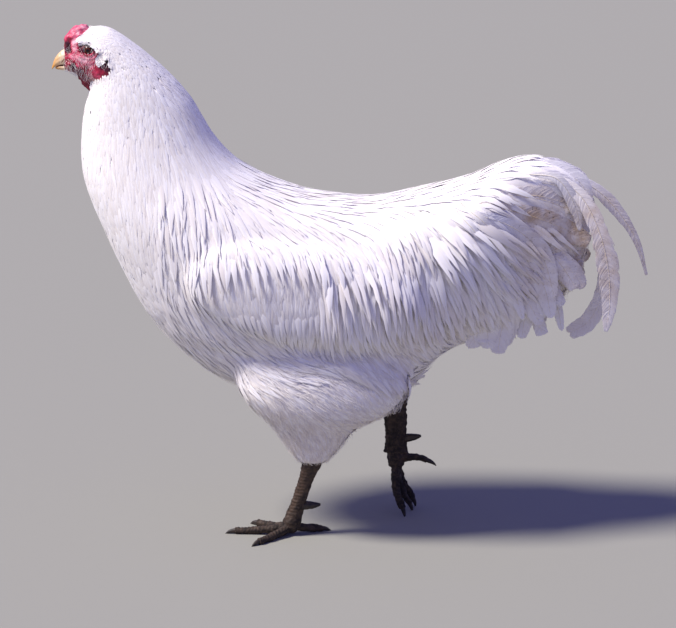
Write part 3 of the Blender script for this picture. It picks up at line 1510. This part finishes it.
@dataclass(frozen=True)
class Quill:
    """A large feather: a shaft on a smooth path, with locks of barbs on both sides.

    Its points are millimetres from the low corner of a CAD node's box along and up, and from the bird's
    middle outwards.
    """

    points: tuple[tuple[float, float, float], ...]
    half_width: float
    widest: float = 0.55
    pointed: float = 0.5
    soil: float = 0.0
    facing: tuple[float, float, float] = (0.0, 1.0, 0.15)  # along, outwards and up
    stem: float = 0.0  # share of its length with hardly any vane
    split: float = 1.0  # how much its locks part
    cup: float = 0.12
    lift: float = 0.0  # mm that it lies outside the coat, where it passes the body; 0 leaves it as it is


@dataclass
class QuillMaker:
    """Turns quills into one joined piece of locks and shafts."""

    plumage: Plumage
    samples: int = 160  # points on a shaft
    even_over: int = 25  # of them, over which a shaft is evened out
    lock_gap: float = 1.5 * MM
    lock_span: tuple[float, float] = (0.02, 0.985)  # where the locks start, as shares of the shaft
    lock_width: float = 1.5 * MM  # half width
    lock_taper: tuple[float, ...] = (0.75, 1.0, 1.0, 0.9, 0.62, 0.1)  # of it, by row
    lock_least: float = 0.6 * MM  # how far a lock reaches out at least
    lock_ahead: float = 2.5 * MM
    part_chance: float = 0.11  # of a lock that it leaves its neighbours
    rough: float = 0.12  # mm
    shaft_radius: float = 0.65 * MM
    shaft_parts: int = 8
    shaft_end: float = 0.97
    shaft_overlap: float = 0.3 * MM
    shaft_proud: float = 0.25  # mm out of the vane

    def mesh(self, name: str, quills: list[tuple[Quill, float]], node: str, seed: int) -> bpy.types.Object:
        """Joins quills into one piece.

        Args:
            name: the piece's name.
            quills: each quill with its side.
            node: the CAD node whose box they are measured from.
            seed: for the random numbers.

        Returns:
            The piece.
        """
        rng = np.random.default_rng(seed)
        low, _ = box_of(node)
        grown = [part for quill, side in quills for part in self.grow(quill, low, side, rng)]
        return Vanes.joined(grown).mesh(name)

    def grow(self, quill: Quill, low: np.ndarray, side: float, rng: np.random.Generator) -> list[Vanes]:
        """Makes one quill.

        Args:
            quill: the feather.
            low: the low corner that its points are measured from.
            side: -1 for the bird's left, 1 for its right.
            rng: the source of random numbers.

        Returns:
            Its locks on each side, and its shaft in short parts with as many rows as a lock.
        """
        places = np.array([(low[0] + x * MM, side * y * MM, low[2] + z * MM) for x, y, z in quill.points])
        shaft = catmull_rom(places, self.samples)
        if quill.lift:
            shaft = self.settle(shaft, side, quill.lift)
        gone = np.concatenate([[0], np.cumsum(np.linalg.norm(np.diff(shaft, axis=0), axis=1))])
        facing = np.array((quill.facing[0], side * quill.facing[1], quill.facing[2]))
        count = int(gone[-1] / self.lock_gap)
        groups = np.cumsum(rng.random(count) < self.part_chance)
        lean, short = (rng.normal(0, 1, groups[-1] + 1)[groups] for _ in range(2))
        lean = lean * 0.10 * quill.split
        short = 1 - np.abs(short) * 0.06 * quill.split
        hands = [self.locks(quill, shaft, gone, facing, hand, lean, short, rng) for hand in (-1.0, 1.0)]
        tint = rng.random() * 0.6
        half = np.broadcast_to(self.lock_width * np.array(self.lock_taper), hands[0][0].shape[:2])
        made = []
        for centre, across, normal in hands:
            tints = np.clip(tint + rng.normal(0, 0.12, count), 0, 1)
            made.append(self.dress(quill, centre, across, normal, half, half * 0.16 + 0.08 * MM, tints, 0.0))
        edges = np.linspace(0, gone[-1] * self.shaft_end, self.shaft_parts + 1)
        for first, last in zip(edges, edges[1:]):
            at = np.linspace(first, last + self.shaft_overlap, len(self.lock_taper))
            centre = sample(at, gone, shaft)[None]
            ahead = unit(np.gradient(centre, axis=1))
            normal = unit(facing - ahead * (ahead @ facing)[..., None])
            half = (self.shaft_radius * (1 - 0.75 * at / gone[-1]))[None]
            across = unit(np.cross(normal, ahead))
            made.append(self.dress(quill, centre, across, normal, half, half * 0.9, np.full(1, tint), 1.0))
            made[-1].centre = centre + normal * self.shaft_proud * MM
        return made

    def locks(
        self, quill: Quill, shaft: np.ndarray, gone: np.ndarray, facing: np.ndarray, hand: float,
        lean: np.ndarray, short: np.ndarray, rng: np.random.Generator,
    ) -> tuple[np.ndarray, np.ndarray, np.ndarray]:
        """Lays the locks of barbs on one side of a shaft.

        Args:
            quill: the feather.
            shaft: the shaft's points.
            gone: how far each is from the root.
            facing: the way that the vane faces.
            hand: -1 or 1, for the side of the shaft.
            lean: how far each lock leans ahead.
            short: each lock's share of its full width.
            rng: the source of random numbers.

        Returns:
            The locks' middle lines, the ways across them and their normals.
        """
        length, count = gone[-1], len(lean)
        start = np.linspace(*self.lock_span, count)
        width = self.half_width_at(quill, start) * short * rng.uniform(0.93, 1.04, count)
        out = np.maximum(width, self.lock_least)
        reach = np.minimum(out * 1.35 + self.lock_ahead, (1 - start) * length + self.lock_ahead)
        t = np.linspace(0, 1, len(self.lock_taper))
        off = out[:, None] * (1 - (1 - t) ** (1.5 + 0.25 * lean[:, None]))
        ahead = reach[:, None] * t**1.15 * (1 + 0.5 * lean[:, None])
        at = np.minimum(start[:, None] * length + ahead * 0.9, length * 0.999)
        tangent = unit(sample(at, gone, np.gradient(shaft, axis=0)))
        normal = unit(facing - tangent * (tangent @ facing)[..., None])
        beside = np.cross(normal, tangent)
        bend = quill.cup * (off / (quill.half_width * MM)) ** 2 * quill.half_width * MM
        centre = sample(at, gone, shaft) + beside * (hand * off)[..., None] - normal * bend[..., None]
        centre = centre + normal * (rng.normal(0, self.rough, (count, 1)) * MM)[..., None]
        return centre, unit(np.cross(normal, unit(np.gradient(centre, axis=1)))), normal

    def dress(
        self, quill: Quill, centre: np.ndarray, across: np.ndarray, normal: np.ndarray, half: np.ndarray,
        arch: np.ndarray, tint: np.ndarray, shaft: float,
    ) -> Vanes:
        """Gives parts of a quill their place on the map and their dirt.

        Args:
            quill: the feather.
            centre: the parts' middle lines.
            across: the ways across them.
            normal: their normals.
            half: their half widths.
            arch: their heights.
            tint: their tints.
            shaft: 1 on the shaft, 0 on locks.

        Returns:
            The parts.
        """
        root_map = self.plumage.ground.flat_at(centre[:, 0])
        soil = np.clip(quill.soil + self.plumage.soil(centre), 0, 1)
        shafts = np.full(len(centre), shaft)
        return Vanes(centre, across, normal, half, half, arch, root_map, tint, soil, shafts)

    def settle(self, shaft: np.ndarray, side: float, lift: float) -> np.ndarray:
        """Moves a shaft's points outwards, to lie outside the coat by their lift.

        Args:
            shaft: the points.
            side: -1 for the bird's left, 1 for its right.
            lift: in mm.

        Returns:
            The new points.
        """
        out = shaft[:, 1] * side
        wanted = out.copy()
        _, traits = self.plumage.field.at(shaft)
        for i, (x, _, z) in enumerate(shaft.tolist()):
            hit = self.plumage.ground.tree.ray_cast(Vector((x, side, z)), Vector((0, -side, 0)))
            if hit[0] is not None:
                wanted[i] = abs(hit[0].y) + (traits[i, Trait.DEPTH] + lift) * MM
        wanted = np.pad(np.maximum(wanted, out), self.even_over // 2, mode="edge")
        even = np.convolve(wanted, np.ones(self.even_over) / self.even_over, mode="valid")
        settled = shaft.copy()
        settled[:, 1] = side * np.maximum(even, out)
        return settled

    def half_width_at(self, quill: Quill, share: np.ndarray) -> np.ndarray:
        """Finds the vane's half width.

        Args:
            quill: the feather.
            share: places from root to tip.

        Returns:
            The half widths in metres.
        """
        rise = np.clip((share - quill.stem) / max(quill.widest - quill.stem, 0.05), 0, 1)
        fall = np.clip((share - quill.widest) / (1 - quill.widest), 0, 1)
        round_end = (1 - fall**2.4) ** 0.55
        point = 1 - fall**1.25
        return quill.half_width * MM * rise**0.55 * (round_end * (1 - quill.pointed) + point * quill.pointed)


def sample(at: np.ndarray, gone: np.ndarray, values: np.ndarray) -> np.ndarray:
    """Reads points along a curve.

    Args:
        at: distances from its start.
        gone: the distance of each of its rows.
        values: the rows, of three numbers.

    Returns:
        Three numbers for each distance.
    """
    return np.stack([np.interp(at, gone, values[:, k]) for k in range(3)], -1)


# The large feathers of the tail, from the tail's low corner. Those of one side are mirrored for the other.
TAIL_QUILLS = (
    # Over the top: broad coverts that arch to the tail's end.
    Quill(((40, 6, 204), (104, 8, 217), (152, 8, 203), (170, 8, 176)), 12, pointed=0.4, stem=0.25),
    Quill(((36, 16, 200), (100, 18, 211), (146, 17, 196), (164, 15, 168)), 12, pointed=0.5, stem=0.25),
    Quill(((60, 24, 198), (115, 25, 203), (150, 23, 188), (160, 20, 158)), 11, pointed=0.5, stem=0.2),
    Quill(((100, 27, 214), (132, 29, 208), (152, 28, 176), (158, 26, 148)), 8, pointed=0.7),
    # Inside the arch: broad, stained feathers that end square.
    Quill(((48, 24, 192), (106, 24, 190), (150, 20, 176)), 13, pointed=0.1, soil=0.4, lift=1.2),
    Quill(((44, 28, 186), (104, 27, 168), (160, 18, 140)), 13, pointed=0.1, soil=0.45, lift=1.8),
    Quill(((60, 24, 170), (122, 22, 156), (163, 15, 134)), 12, pointed=0.1, soil=0.35, lift=1.0),
    Quill(((60, 22, 150), (118, 20, 132), (158, 14, 106)), 13, pointed=0.2, soil=0.3, lift=0.8),
    Quill(((66, 22, 130), (112, 20, 108), (142, 14, 82)), 11, pointed=0.2, soil=0.2, lift=0.6),
    # Below: fluff, and broad coverts that sweep down over it.
    Quill(((34, 30, 124), (50, 28, 68), (58, 22, 14)), 17, pointed=0.4, split=0.8, lift=1.5),
    Quill(((58, 26, 124), (76, 24, 66), (74, 20, 14)), 15, pointed=0.4, split=0.8, lift=1.0),
    Quill(((82, 22, 118), (98, 20, 72), (94, 17, 24)), 12, pointed=0.5, split=0.8, lift=0.8),
    Quill(((12, 30, 116), (26, 28, 66), (34, 22, 22)), 16, pointed=0.4, split=0.8, lift=1.0),
    Quill(
        ((92, 24, 128), (132, 27, 120), (163, 22, 84)), 12, pointed=0.4, facing=(-0.1, 0.9, 0.45), lift=0.6
    ),
    Quill(((78, 30, 120), (112, 30, 96), (141, 24, 62)), 11, pointed=0.4, split=1.2, lift=1.2),
    Quill(((66, 30, 112), (96, 30, 80), (118, 24, 48)), 11, pointed=0.4, split=1.2, lift=1.4),
    Quill(((100, 10, 90), (104, 13, 60), (115, 14, 24)), 8, widest=0.8, pointed=0.0, stem=0.35),
    Quill(((108, 7, 98), (130, 9, 66), (138, 9, 30)), 5.5, pointed=0.4, stem=0.2),
    Quill(((60, 36, 150), (94, 34, 124), (112, 30, 88), (118, 26, 52)), 12, pointed=0.4, split=1.4, lift=2.2),
    Quill(((36, 41, 178), (84, 38, 156), (114, 34, 122), (129, 30, 72)), 13, split=1.4, lift=3.4),
    Quill(((50, 40, 144), (72, 38, 110), (86, 36, 78), (94, 34, 54)), 8, pointed=0.7, split=1.3, lift=3.0),
    Quill(((20, 44, 178), (44, 44, 150), (57, 42, 100)), 7, pointed=0.6, lift=4.5),
    Quill(((24, 45, 186), (56, 44, 160), (74, 41, 112)), 7, pointed=0.7, lift=5.0),
)

# The sickles, each from its own CAD node's low corner. The vanes of the right ones face the bird's middle.
SICKLES = {
    "left": Quill(
        ((0, 22, 175), (28, 25, 172), (54, 28, 152), (73, 32, 114), (83, 34, 72), (85, 35, 34), (81, 36, 1)),
        13.0, pointed=0.45, soil=0.13, split=1.2, facing=(0.1, 1.0, 0.2), cup=0.05,
    ),
    "right": Quill(
        (
            (-13, 22, 189), (20, 25, 177), (48, 29, 145), (64, 32, 101), (66, 33, 57), (51, 32, 19),
            (27, 31, 2),
        ),
        10.5, widest=0.85, pointed=0.0, soil=0.05, facing=(0.1, -1.0, 0.2), cup=0.05,
    ),
    "outer": Quill(
        ((-22, 3, 120), (7, 4, 114), (34, 6, 97), (58, 8, 69), (75, 10, 39), (86, 12, 1)),
        7.8, widest=0.35, pointed=1.0, split=0.8, facing=(0.1, -1.0, 0.25), cup=0.05,
    ),
}


@dataclass
class Tail:
    """The tail's large feathers and the sickles."""

    plumage: Plumage
    varied_by: float = 1.5  # mm that a quill's tip is off
    under_varied_by: float = 9.0  # mm, for the second quill under one that lies on the coat
    under_lift: float = 0.5  # its share of the first one's lift

    def build(self) -> None:
        """Makes the fan of each side and the three sickles."""
        self.maker = QuillMaker(self.plumage)
        for number, (name, side) in enumerate(SIDES.items()):
            rng = np.random.default_rng(70 + number)
            quills = []
            for quill in TAIL_QUILLS:
                quills.append((self.varied(quill, rng, self.varied_by), side))
                if quill.lift:
                    under = self.varied(quill, rng, self.under_varied_by)
                    quills.append((replace(under, lift=quill.lift * self.under_lift), side))
            self.finish(f"tail_fan_{name}", quills, "tail", 71 + number)
        for number, (name, quill) in enumerate(SICKLES.items()):
            node, side = f"sickle_{name}", SIDES.get(name, 1.0)
            self.finish(f"sickle_feather_{name}", [(quill, side)], node, 81 + number, node)

    def varied(self, quill: Quill, rng: np.random.Generator, amount: float) -> Quill:
        """Moves a quill's tip, so that no two are alike.

        Args:
            quill: the feather.
            rng: the source of random numbers.
            amount: by how many mm or so.

        Returns:
            The new quill.
        """
        shift = rng.normal(0, amount, 3) * (0.8, 0.2, 0.8)
        last = len(quill.points) - 1
        points = tuple(
            tuple(p + s * i / last for p, s in zip(point, shift)) for i, point in enumerate(quill.points)
        )
        return replace(quill, points=points)

    def finish(
        self, name: str, quills: list[tuple[Quill, float]], node: str, seed: int, *nodes: str
    ) -> None:
        """Makes and dresses one piece of quills.

        Args:
            name: the piece's name.
            quills: each quill with its side.
            node: the CAD node whose box they are measured from.
            seed: for the random numbers.
            *nodes: the CAD nodes it stands for.
        """
        finish_piece(self.maker.mesh(name, quills, node, seed), self.plumage.material, "plumage", *nodes)


# Eyes, bill, claws and legs.


@dataclass(frozen=True)
class HornFinish:
    """Horn: smooth grown keratin, half glossy, with faint lines along its growth."""

    name: str = "bill_horn"
    base: str = "efdfc0"
    tip: str = "d8983c"
    edge: str = "8a4a24"
    streak: float = 3.3  # mm across
    line_depth: float = 0.12  # mm
    roughness: float = 0.38

    def material(self) -> bpy.types.Material:
        """Builds the finish from the attributes grown, 0 at the root and 1 at the tip, and edge.

        Returns:
            The material.
        """
        made, tree, shader = new_material(self.name)
        place = add_node(tree, "TexCoord", output="Object")
        grown, edge = (
            add_node(tree, "Attribute", {"attribute_name": name}, NUMBER) for name in ("grown", "edge")
        )
        lines = add_node(
            tree, "TexNoise", {0: place, "Scale": 1 / (self.streak * MM), "Detail": 4.0, "Distortion": 0.6}
        )
        drift = add_node(tree, "MapRange", {0: lines, 1: 0.3, 2: 0.7, 3: -0.12, 4: 0.12})
        share = add_node(tree, "Math", PLUS | {"use_clamp": True, 0: grown, 1: drift})
        body = add_node(tree, "Mix", COLOURS | {0: share, 6: linear(self.base), 7: linear(self.tip)}, MIXED)
        colour = add_node(tree, "Mix", COLOURS | {0: edge, 6: body, 7: linear(self.edge)}, MIXED)
        relief = add_node(tree, "Bump", {"Strength": 0.4, "Distance": self.line_depth * MM, "Height": lines})
        feed(shader, {"Base Color": colour, "Normal": relief, "Roughness": self.roughness})
        return made


@dataclass(frozen=True)
class EyeFinish:
    """An eyeball: red-brown iris and black pupil under a wet, clear coat that gives a sharp highlight."""

    name: str = "wet_eyeball"
    pupil: str = "060404"
    iris: str = "4e200e"
    rim: str = "1a0b08"
    pupil_edge: tuple[float, float] = (1.6, 1.9)  # mm from the eye's axis
    iris_edge: tuple[float, float] = (3.3, 4.3)
    fleck: float = 0.7  # mm across

    def material(self) -> bpy.types.Material:
        """Builds the finish from the attribute radial, the distance from the eye's axis in mm.

        Returns:
            The material.
        """
        made, tree, shader = new_material(self.name)
        radial = add_node(tree, "Attribute", {"attribute_name": "radial"}, NUMBER)
        place = add_node(tree, "TexCoord", output="Object")
        flecks = add_node(tree, "TexNoise", {0: place, "Scale": 1 / (self.fleck * MM), "Detail": 3.0})
        sway = add_node(tree, "MapRange", {0: flecks, 1: 0.3, 2: 0.7, 3: -0.25, 4: 0.25})
        spot = add_node(tree, "Math", PLUS | {0: radial, 1: sway})
        to_iris = add_node(tree, "MapRange", {0: radial, 1: self.pupil_edge[0], 2: self.pupil_edge[1]})
        to_rim = add_node(tree, "MapRange", {0: spot, 1: self.iris_edge[0], 2: self.iris_edge[1]})
        pupil, iris = linear(self.pupil), linear(self.iris)
        inner = add_node(tree, "Mix", COLOURS | {0: to_iris, 6: pupil, 7: iris}, MIXED)
        colour = add_node(tree, "Mix", COLOURS | {0: to_rim, 6: inner, 7: linear(self.rim)}, MIXED)
        feed(shader, {"Base Color": colour, "Roughness": 0.5, "Specular IOR Level": 0.1})
        feed(shader, {"Coat Weight": 1.0, "Coat Roughness": 0.03, "Coat IOR": 1.38})
        return made


@dataclass
class Eye:
    """One eyeball, with the cornea's bulge."""

    name: str
    out_axis: tuple[float, float, float] = (-0.14, 1.0, 0.04)  # along, outwards and up
    cornea: float = 0.25 * MM
    segments: int = 48
    rings: int = 32
    behind: float = 9.0  # mm, the distance from the axis that the eye's back is given

    def build(self, finish: bpy.types.Material) -> None:
        """Makes the eye in its CAD node's place.

        Args:
            finish: its material.
        """
        low, high = (Vector(corner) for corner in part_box(self.name))
        middle, radius = (low + high) / 2, (high.x - low.x) / 2
        bpy.ops.object.select_all(action="DESELECT")
        bpy.ops.mesh.primitive_uv_sphere_add(segments=self.segments, ring_count=self.rings, radius=radius)
        obj = bpy.context.object
        obj.name = obj.data.name = self.name.replace("eye", "eyeball")
        points = points_of(obj)
        from_axis = np.hypot(points[:, 0], points[:, 1])
        bulge = smoothstep(3.4 * MM, 1.2 * MM, from_axis) * (points[:, 2] > 0)
        write_attribute(obj.data, "radial", np.where(points[:, 2] > 0, from_axis / MM, self.behind))
        ahead, out, up = self.out_axis
        axis = Vector((ahead, SIDES[self.name.split("_")[1]] * out, up))
        turn = np.array(axis.to_track_quat("Z", "Y").to_matrix())
        points = (points + points * (bulge * self.cornea / radius)[:, None]) @ turn.T
        move_points(obj, points + np.array(middle))
        obj.data.shade_smooth()
        finish_piece(obj, finish, "eye", self.name)


@dataclass
class Horn:
    """A smooth piece of horn in place of a CAD node: half of the bill, a claw or a spur."""

    node: str
    name: str
    slot: str
    voxel: float = 0.55 * MM
    root: tuple[float, float, float] = (1.0, 0.0, 0.0)  # the way to its root
    sunk: float = 0.0  # how far its root is drawn into what it grows from
    rings: float = 46.0  # radians of growth rings from root to tip
    ring_height: float = 0.05 * MM

    def build(self, finish: bpy.types.Material) -> None:
        """Makes the piece with its growth lines.

        Args:
            finish: its material.
        """
        obj = join_copies((self.node,), self.name)
        grown_anew(obj, self.voxel, 3)
        points = points_of(obj)
        along = points @ np.array(self.root)
        grown = 1 - (along - along.min()) / (along.max() - along.min())
        axis = points[grown < 0.15].mean(0) - points[grown > 0.85].mean(0)
        points += unit(axis) * (smoothstep(0.2, 0.0, grown) * self.sunk)[:, None]
        height = np.sin(grown * self.rings) * self.ring_height + ripple(points, 2.2 * MM, 5) * 0.08 * MM
        move_points(obj, points + normals_of(obj) * height[:, None])
        write_attribute(obj.data, "grown", grown)
        write_attribute(obj.data, "edge", self.edge(points, grown))
        obj.data.shade_smooth()
        finish_piece(obj, finish, self.slot, self.node)

    def edge(self, points: np.ndarray, grown: np.ndarray) -> np.ndarray:
        """Tells how dark the horn is: along the bite and at the nostril of the bill, at random elsewhere.

        Args:
            points: the piece's points.
            grown: 0 at the root, 1 at the tip.

        Returns:
            A share for each point.
        """
        if not self.node.startswith("bill"):
            return np.clip(ripple(points, 3 * MM, 6) * 0.5 + 0.3, 0, 1)
        up = share_of(self.node, points)[:, 2]
        if self.node == "bill_lower":
            return smoothstep(0.75, 0.95, up) * smoothstep(1.0, 0.3, grown)
        bite = 0.27 - 0.27 * grown
        line = smoothstep(0.12, 0.0, up - bite) * smoothstep(1.0, 0.4, grown)
        nostril = np.hypot((grown - 0.17) / 0.13, (up - 0.5 + 0.9 * (grown - 0.17)) / 0.05)
        return np.maximum(line, smoothstep(1.3, 0.6, nostril) * 0.9)


@dataclass(frozen=True)
class LegFinish:
    """Horny leg scales under dark mud: matt where caked, a dull shine where scales show."""

    name: str = "muddy_leg_scales"
    scale: str = "4c3828"
    mud: str = "1d1612"
    dried: str = "43362a"
    cake: float = 8.3  # mm across a patch of mud
    grit: float = 2.4  # mm across its crumbs
    grit_height: float = 0.5  # mm
    roughness: tuple[float, float] = (0.5, 0.88)  # of scales and of mud

    def material(self) -> bpy.types.Material:
        """Builds the finish from the attribute mud and noises.

        Returns:
            The material.
        """
        made, tree, shader = new_material(self.name)
        place = add_node(tree, "TexCoord", output="Object")
        mud = add_node(tree, "Attribute", {"attribute_name": "mud"}, NUMBER)
        cloud = add_node(tree, "TexNoise", {0: place, "Scale": 1 / (self.cake * MM), "Detail": 6.0})
        drift = add_node(tree, "MapRange", {0: cloud, 1: 0.3, 2: 0.7, 3: -0.35, 4: 0.35})
        cover = add_node(tree, "Math", PLUS | {"use_clamp": True, 0: mud, 1: drift})
        fine = add_node(tree, "TexNoise", {0: place, "Scale": 1 / (self.grit * MM), "Detail": 5.0})
        dry = add_node(tree, "MapRange", {0: fine, 1: 0.5, 2: 0.68})
        caked = add_node(tree, "Mix", COLOURS | {0: dry, 6: linear(self.mud), 7: linear(self.dried)}, MIXED)
        colour = add_node(tree, "Mix", COLOURS | {0: cover, 6: linear(self.scale), 7: caked}, MIXED)
        relief = add_node(tree, "Bump", {"Strength": 0.8, "Distance": self.grit_height * MM, "Height": fine})
        rough = add_node(tree, "MapRange", {0: cover, 3: self.roughness[0], 4: self.roughness[1]})
        feed(shader, {"Base Color": colour, "Normal": relief, "Roughness": rough})
        return made


@dataclass
class Leg:
    """One bare shank and foot: scutes in front and on the toes, caked with mud."""

    side_name: str
    mud: float
    lumps: float  # height of the mud's lumps
    voxel: float = 0.95 * MM
    swell: float = 0.45 * MM  # makes up for what smoothing takes off
    scute: float = 3.8 * MM  # length of a scute
    scute_height: float = 0.55 * MM
    floor_gap: float = 0.15 * MM

    def build(self, finish: bpy.types.Material) -> None:
        """Makes the leg in its CAD nodes' place.

        Args:
            finish: its material.
        """
        nodes = (f"shank_{self.side_name}", f"foot_{self.side_name}")
        obj = join_copies(nodes, f"leg_{self.side_name}")
        move_points(obj, points_of(obj) + normals_of(obj) * self.swell)
        grown_anew(obj, self.voxel, 3)
        points, normals = points_of(obj), normals_of(obj)
        lumps = ripple(points, 5 * MM, 7) * 0.6 + ripple(points, 2.4 * MM, 8) * 0.4
        height = self.scutes(points, normals) + lumps * self.lumps
        points = points + normals * height[:, None]
        points[:, 2] = np.maximum(points[:, 2], self.floor_gap)
        move_points(obj, points)
        low_down = smoothstep(60 * MM, 10 * MM, points[:, 2])
        write_attribute(obj.data, "mud", np.clip(self.mud + 0.35 * low_down + 0.2 * lumps, 0, 1))
        obj.data.shade_smooth()
        finish_piece(obj, finish, "leg_scales", *nodes)

    def scutes(self, points: np.ndarray, normals: np.ndarray) -> np.ndarray:
        """Shapes overlapping scutes, a slow rise and a sharp step, in front and on top of the toes.

        Args:
            points: the leg's points.
            normals: its normals.

        Returns:
            Heights in metres.
        """
        low, high = box_of(f"shank_{self.side_name}")
        foot_low, _ = box_of(f"foot_{self.side_name}")
        ball = np.array([(low[0] + high[0]) / 2, (low[1] + high[1]) / 2, foot_low[2]])
        on_shank = smoothstep(low[2] + 2 * MM, low[2] + 8 * MM, points[:, 2]) > 0.5
        run = np.where(on_shank, high[2] - points[:, 2], np.linalg.norm(points - ball, axis=1))
        step = (run / self.scute) % 1.0
        shape = smoothstep(0.0, 0.75, step) * smoothstep(1.0, 0.86, step) - 0.5
        ahead, on_top = smoothstep(0.35, -0.2, normals[:, 0]), smoothstep(0.0, 0.5, normals[:, 2])
        front = np.where(on_shank, ahead, on_top)
        pebbles = ripple(points, 1.7 * MM, 9) * 0.12 * MM
        return shape * self.scute_height * front + pebbles * (1 - front)


def build_horns() -> None:
    """Makes the bill, the claws and the spurs."""
    bill = HornFinish().material()
    for half in ("upper", "lower"):
        Horn(f"bill_{half}", f"bill_{half}_horn", "bill_horn").build(bill)
    claw = HornFinish("claw_horn", base="40342a", tip="251d18", edge="1a1512", roughness=0.55).material()
    for side in SIDES:
        spur = Horn(f"spur_{side}", f"spur_horn_{side}", "claw_horn", root=(-1.0, 0.0, 0.0), sunk=1.5 * MM)
        spur.build(claw)
        for toe in ("middle", "inner", "outer", "hind"):
            root = (-1.0, 0.0, 0.2) if toe == "hind" else (1.0, 0.0, 0.2)
            if side == "right" and toe != "hind":
                root = (0.0, 0.0, 1.0)
            name = f"claw_horn_{side}_{toe}"
            Horn(f"claw_{side}_{toe}", name, "claw_horn", 0.45 * MM, root, 1.5 * MM).build(claw)


# The studio.


@dataclass
class Studio:
    """A pale floor, soft light from the upper left front, and a camera at the bird's left side."""

    elevation: float = 16.0  # degrees above the bird
    distance: float = 6.0  # metres
    view_width: float = 0.7572  # metres across the frame at the bird
    aim: tuple[float, float, float] = (-0.0146, 0.0, 0.247)
    sensor: float = 36.0  # mm
    floor_size: float = 14.0
    floor_colour: str = "909088"
    floor_roughness: float = 0.9
    sky: str = "9c9ef6"
    sky_strength: float = 0.52
    key_colour: str = "fff8f0"
    key_strength: float = 5.2
    key_spread: float = 14.0  # degrees
    key_from: tuple[float, float, float] = (-0.57, -0.16, 0.80)

    def build(self) -> None:
        """Sets the studio up."""
        scene = bpy.context.scene
        scene.view_settings.view_transform = "Standard"
        scene.world = bpy.data.worlds.new("studio_air")
        scene.world.use_nodes = True
        air = scene.world.node_tree.nodes["Background"]
        feed(air, {0: linear(self.sky), 1: self.sky_strength})
        self.add_camera(scene)
        self.add_floor()
        self.add_key(scene)

    def add_camera(self, scene: bpy.types.Scene) -> None:
        """Adds the camera, square to the bird's left side and a little above.

        Args:
            scene: the scene.
        """
        lens = bpy.data.cameras.new("camera")
        camera = bpy.data.objects.new("camera", lens)
        scene.collection.objects.link(camera)
        angle = math.radians(self.elevation)
        back = Vector((0, -math.cos(angle), math.sin(angle))) * self.distance
        camera.location = Vector(self.aim) + back
        camera.rotation_euler = (math.radians(90) - angle, 0, 0)
        lens.sensor_width = self.sensor
        lens.lens = self.sensor * self.distance / self.view_width
        lens.clip_end = 60.0
        scene.camera = camera

    def add_floor(self) -> None:
        """Adds the floor, a plain matt sheet."""
        bpy.ops.object.select_all(action="DESELECT")
        bpy.ops.mesh.primitive_plane_add(size=self.floor_size)
        floor = bpy.context.object
        floor.name = "studio_floor"
        made, _, shader = new_material("matt_paper")
        feed(shader, {"Base Color": linear(self.floor_colour), "Roughness": self.floor_roughness})
        floor.data.materials.append(made)

    def add_key(self, scene: bpy.types.Scene) -> None:
        """Adds the main light: broad and even, from ahead of the bird, above it and a little to its left.

        Args:
            scene: the scene.
        """
        lamp = bpy.data.lights.new("key", "SUN")
        lamp.energy = self.key_strength
        lamp.angle = math.radians(self.key_spread)
        lamp.color = linear(self.key_colour)[:3]
        obj = bpy.data.objects.new("key", lamp)
        scene.collection.objects.link(obj)
        obj.rotation_euler = Vector(self.key_from).to_track_quat("Z", "Y").to_euler()


def main() -> None:
    """Builds the rooster and its studio."""
    logging.basicConfig(level=logging.INFO, format="%(name)s: %(message)s")
    Studio().build()
    flow = Field()
    skin = Skin(flow)
    skin.build()
    plumage = Plumage(flow, skin)
    plumage.build()
    Tail(plumage).build()
    wet = EyeFinish().material()
    for side in SIDES:
        Eye(f"eye_{side}").build(wet)
    build_horns()
    muddy = LegFinish().material()
    Leg("left", mud=0.45, lumps=0.5 * MM).build(muddy)
    Leg("right", mud=0.8, lumps=1.1 * MM).build(muddy)


if __name__ == "__main__":
    main()
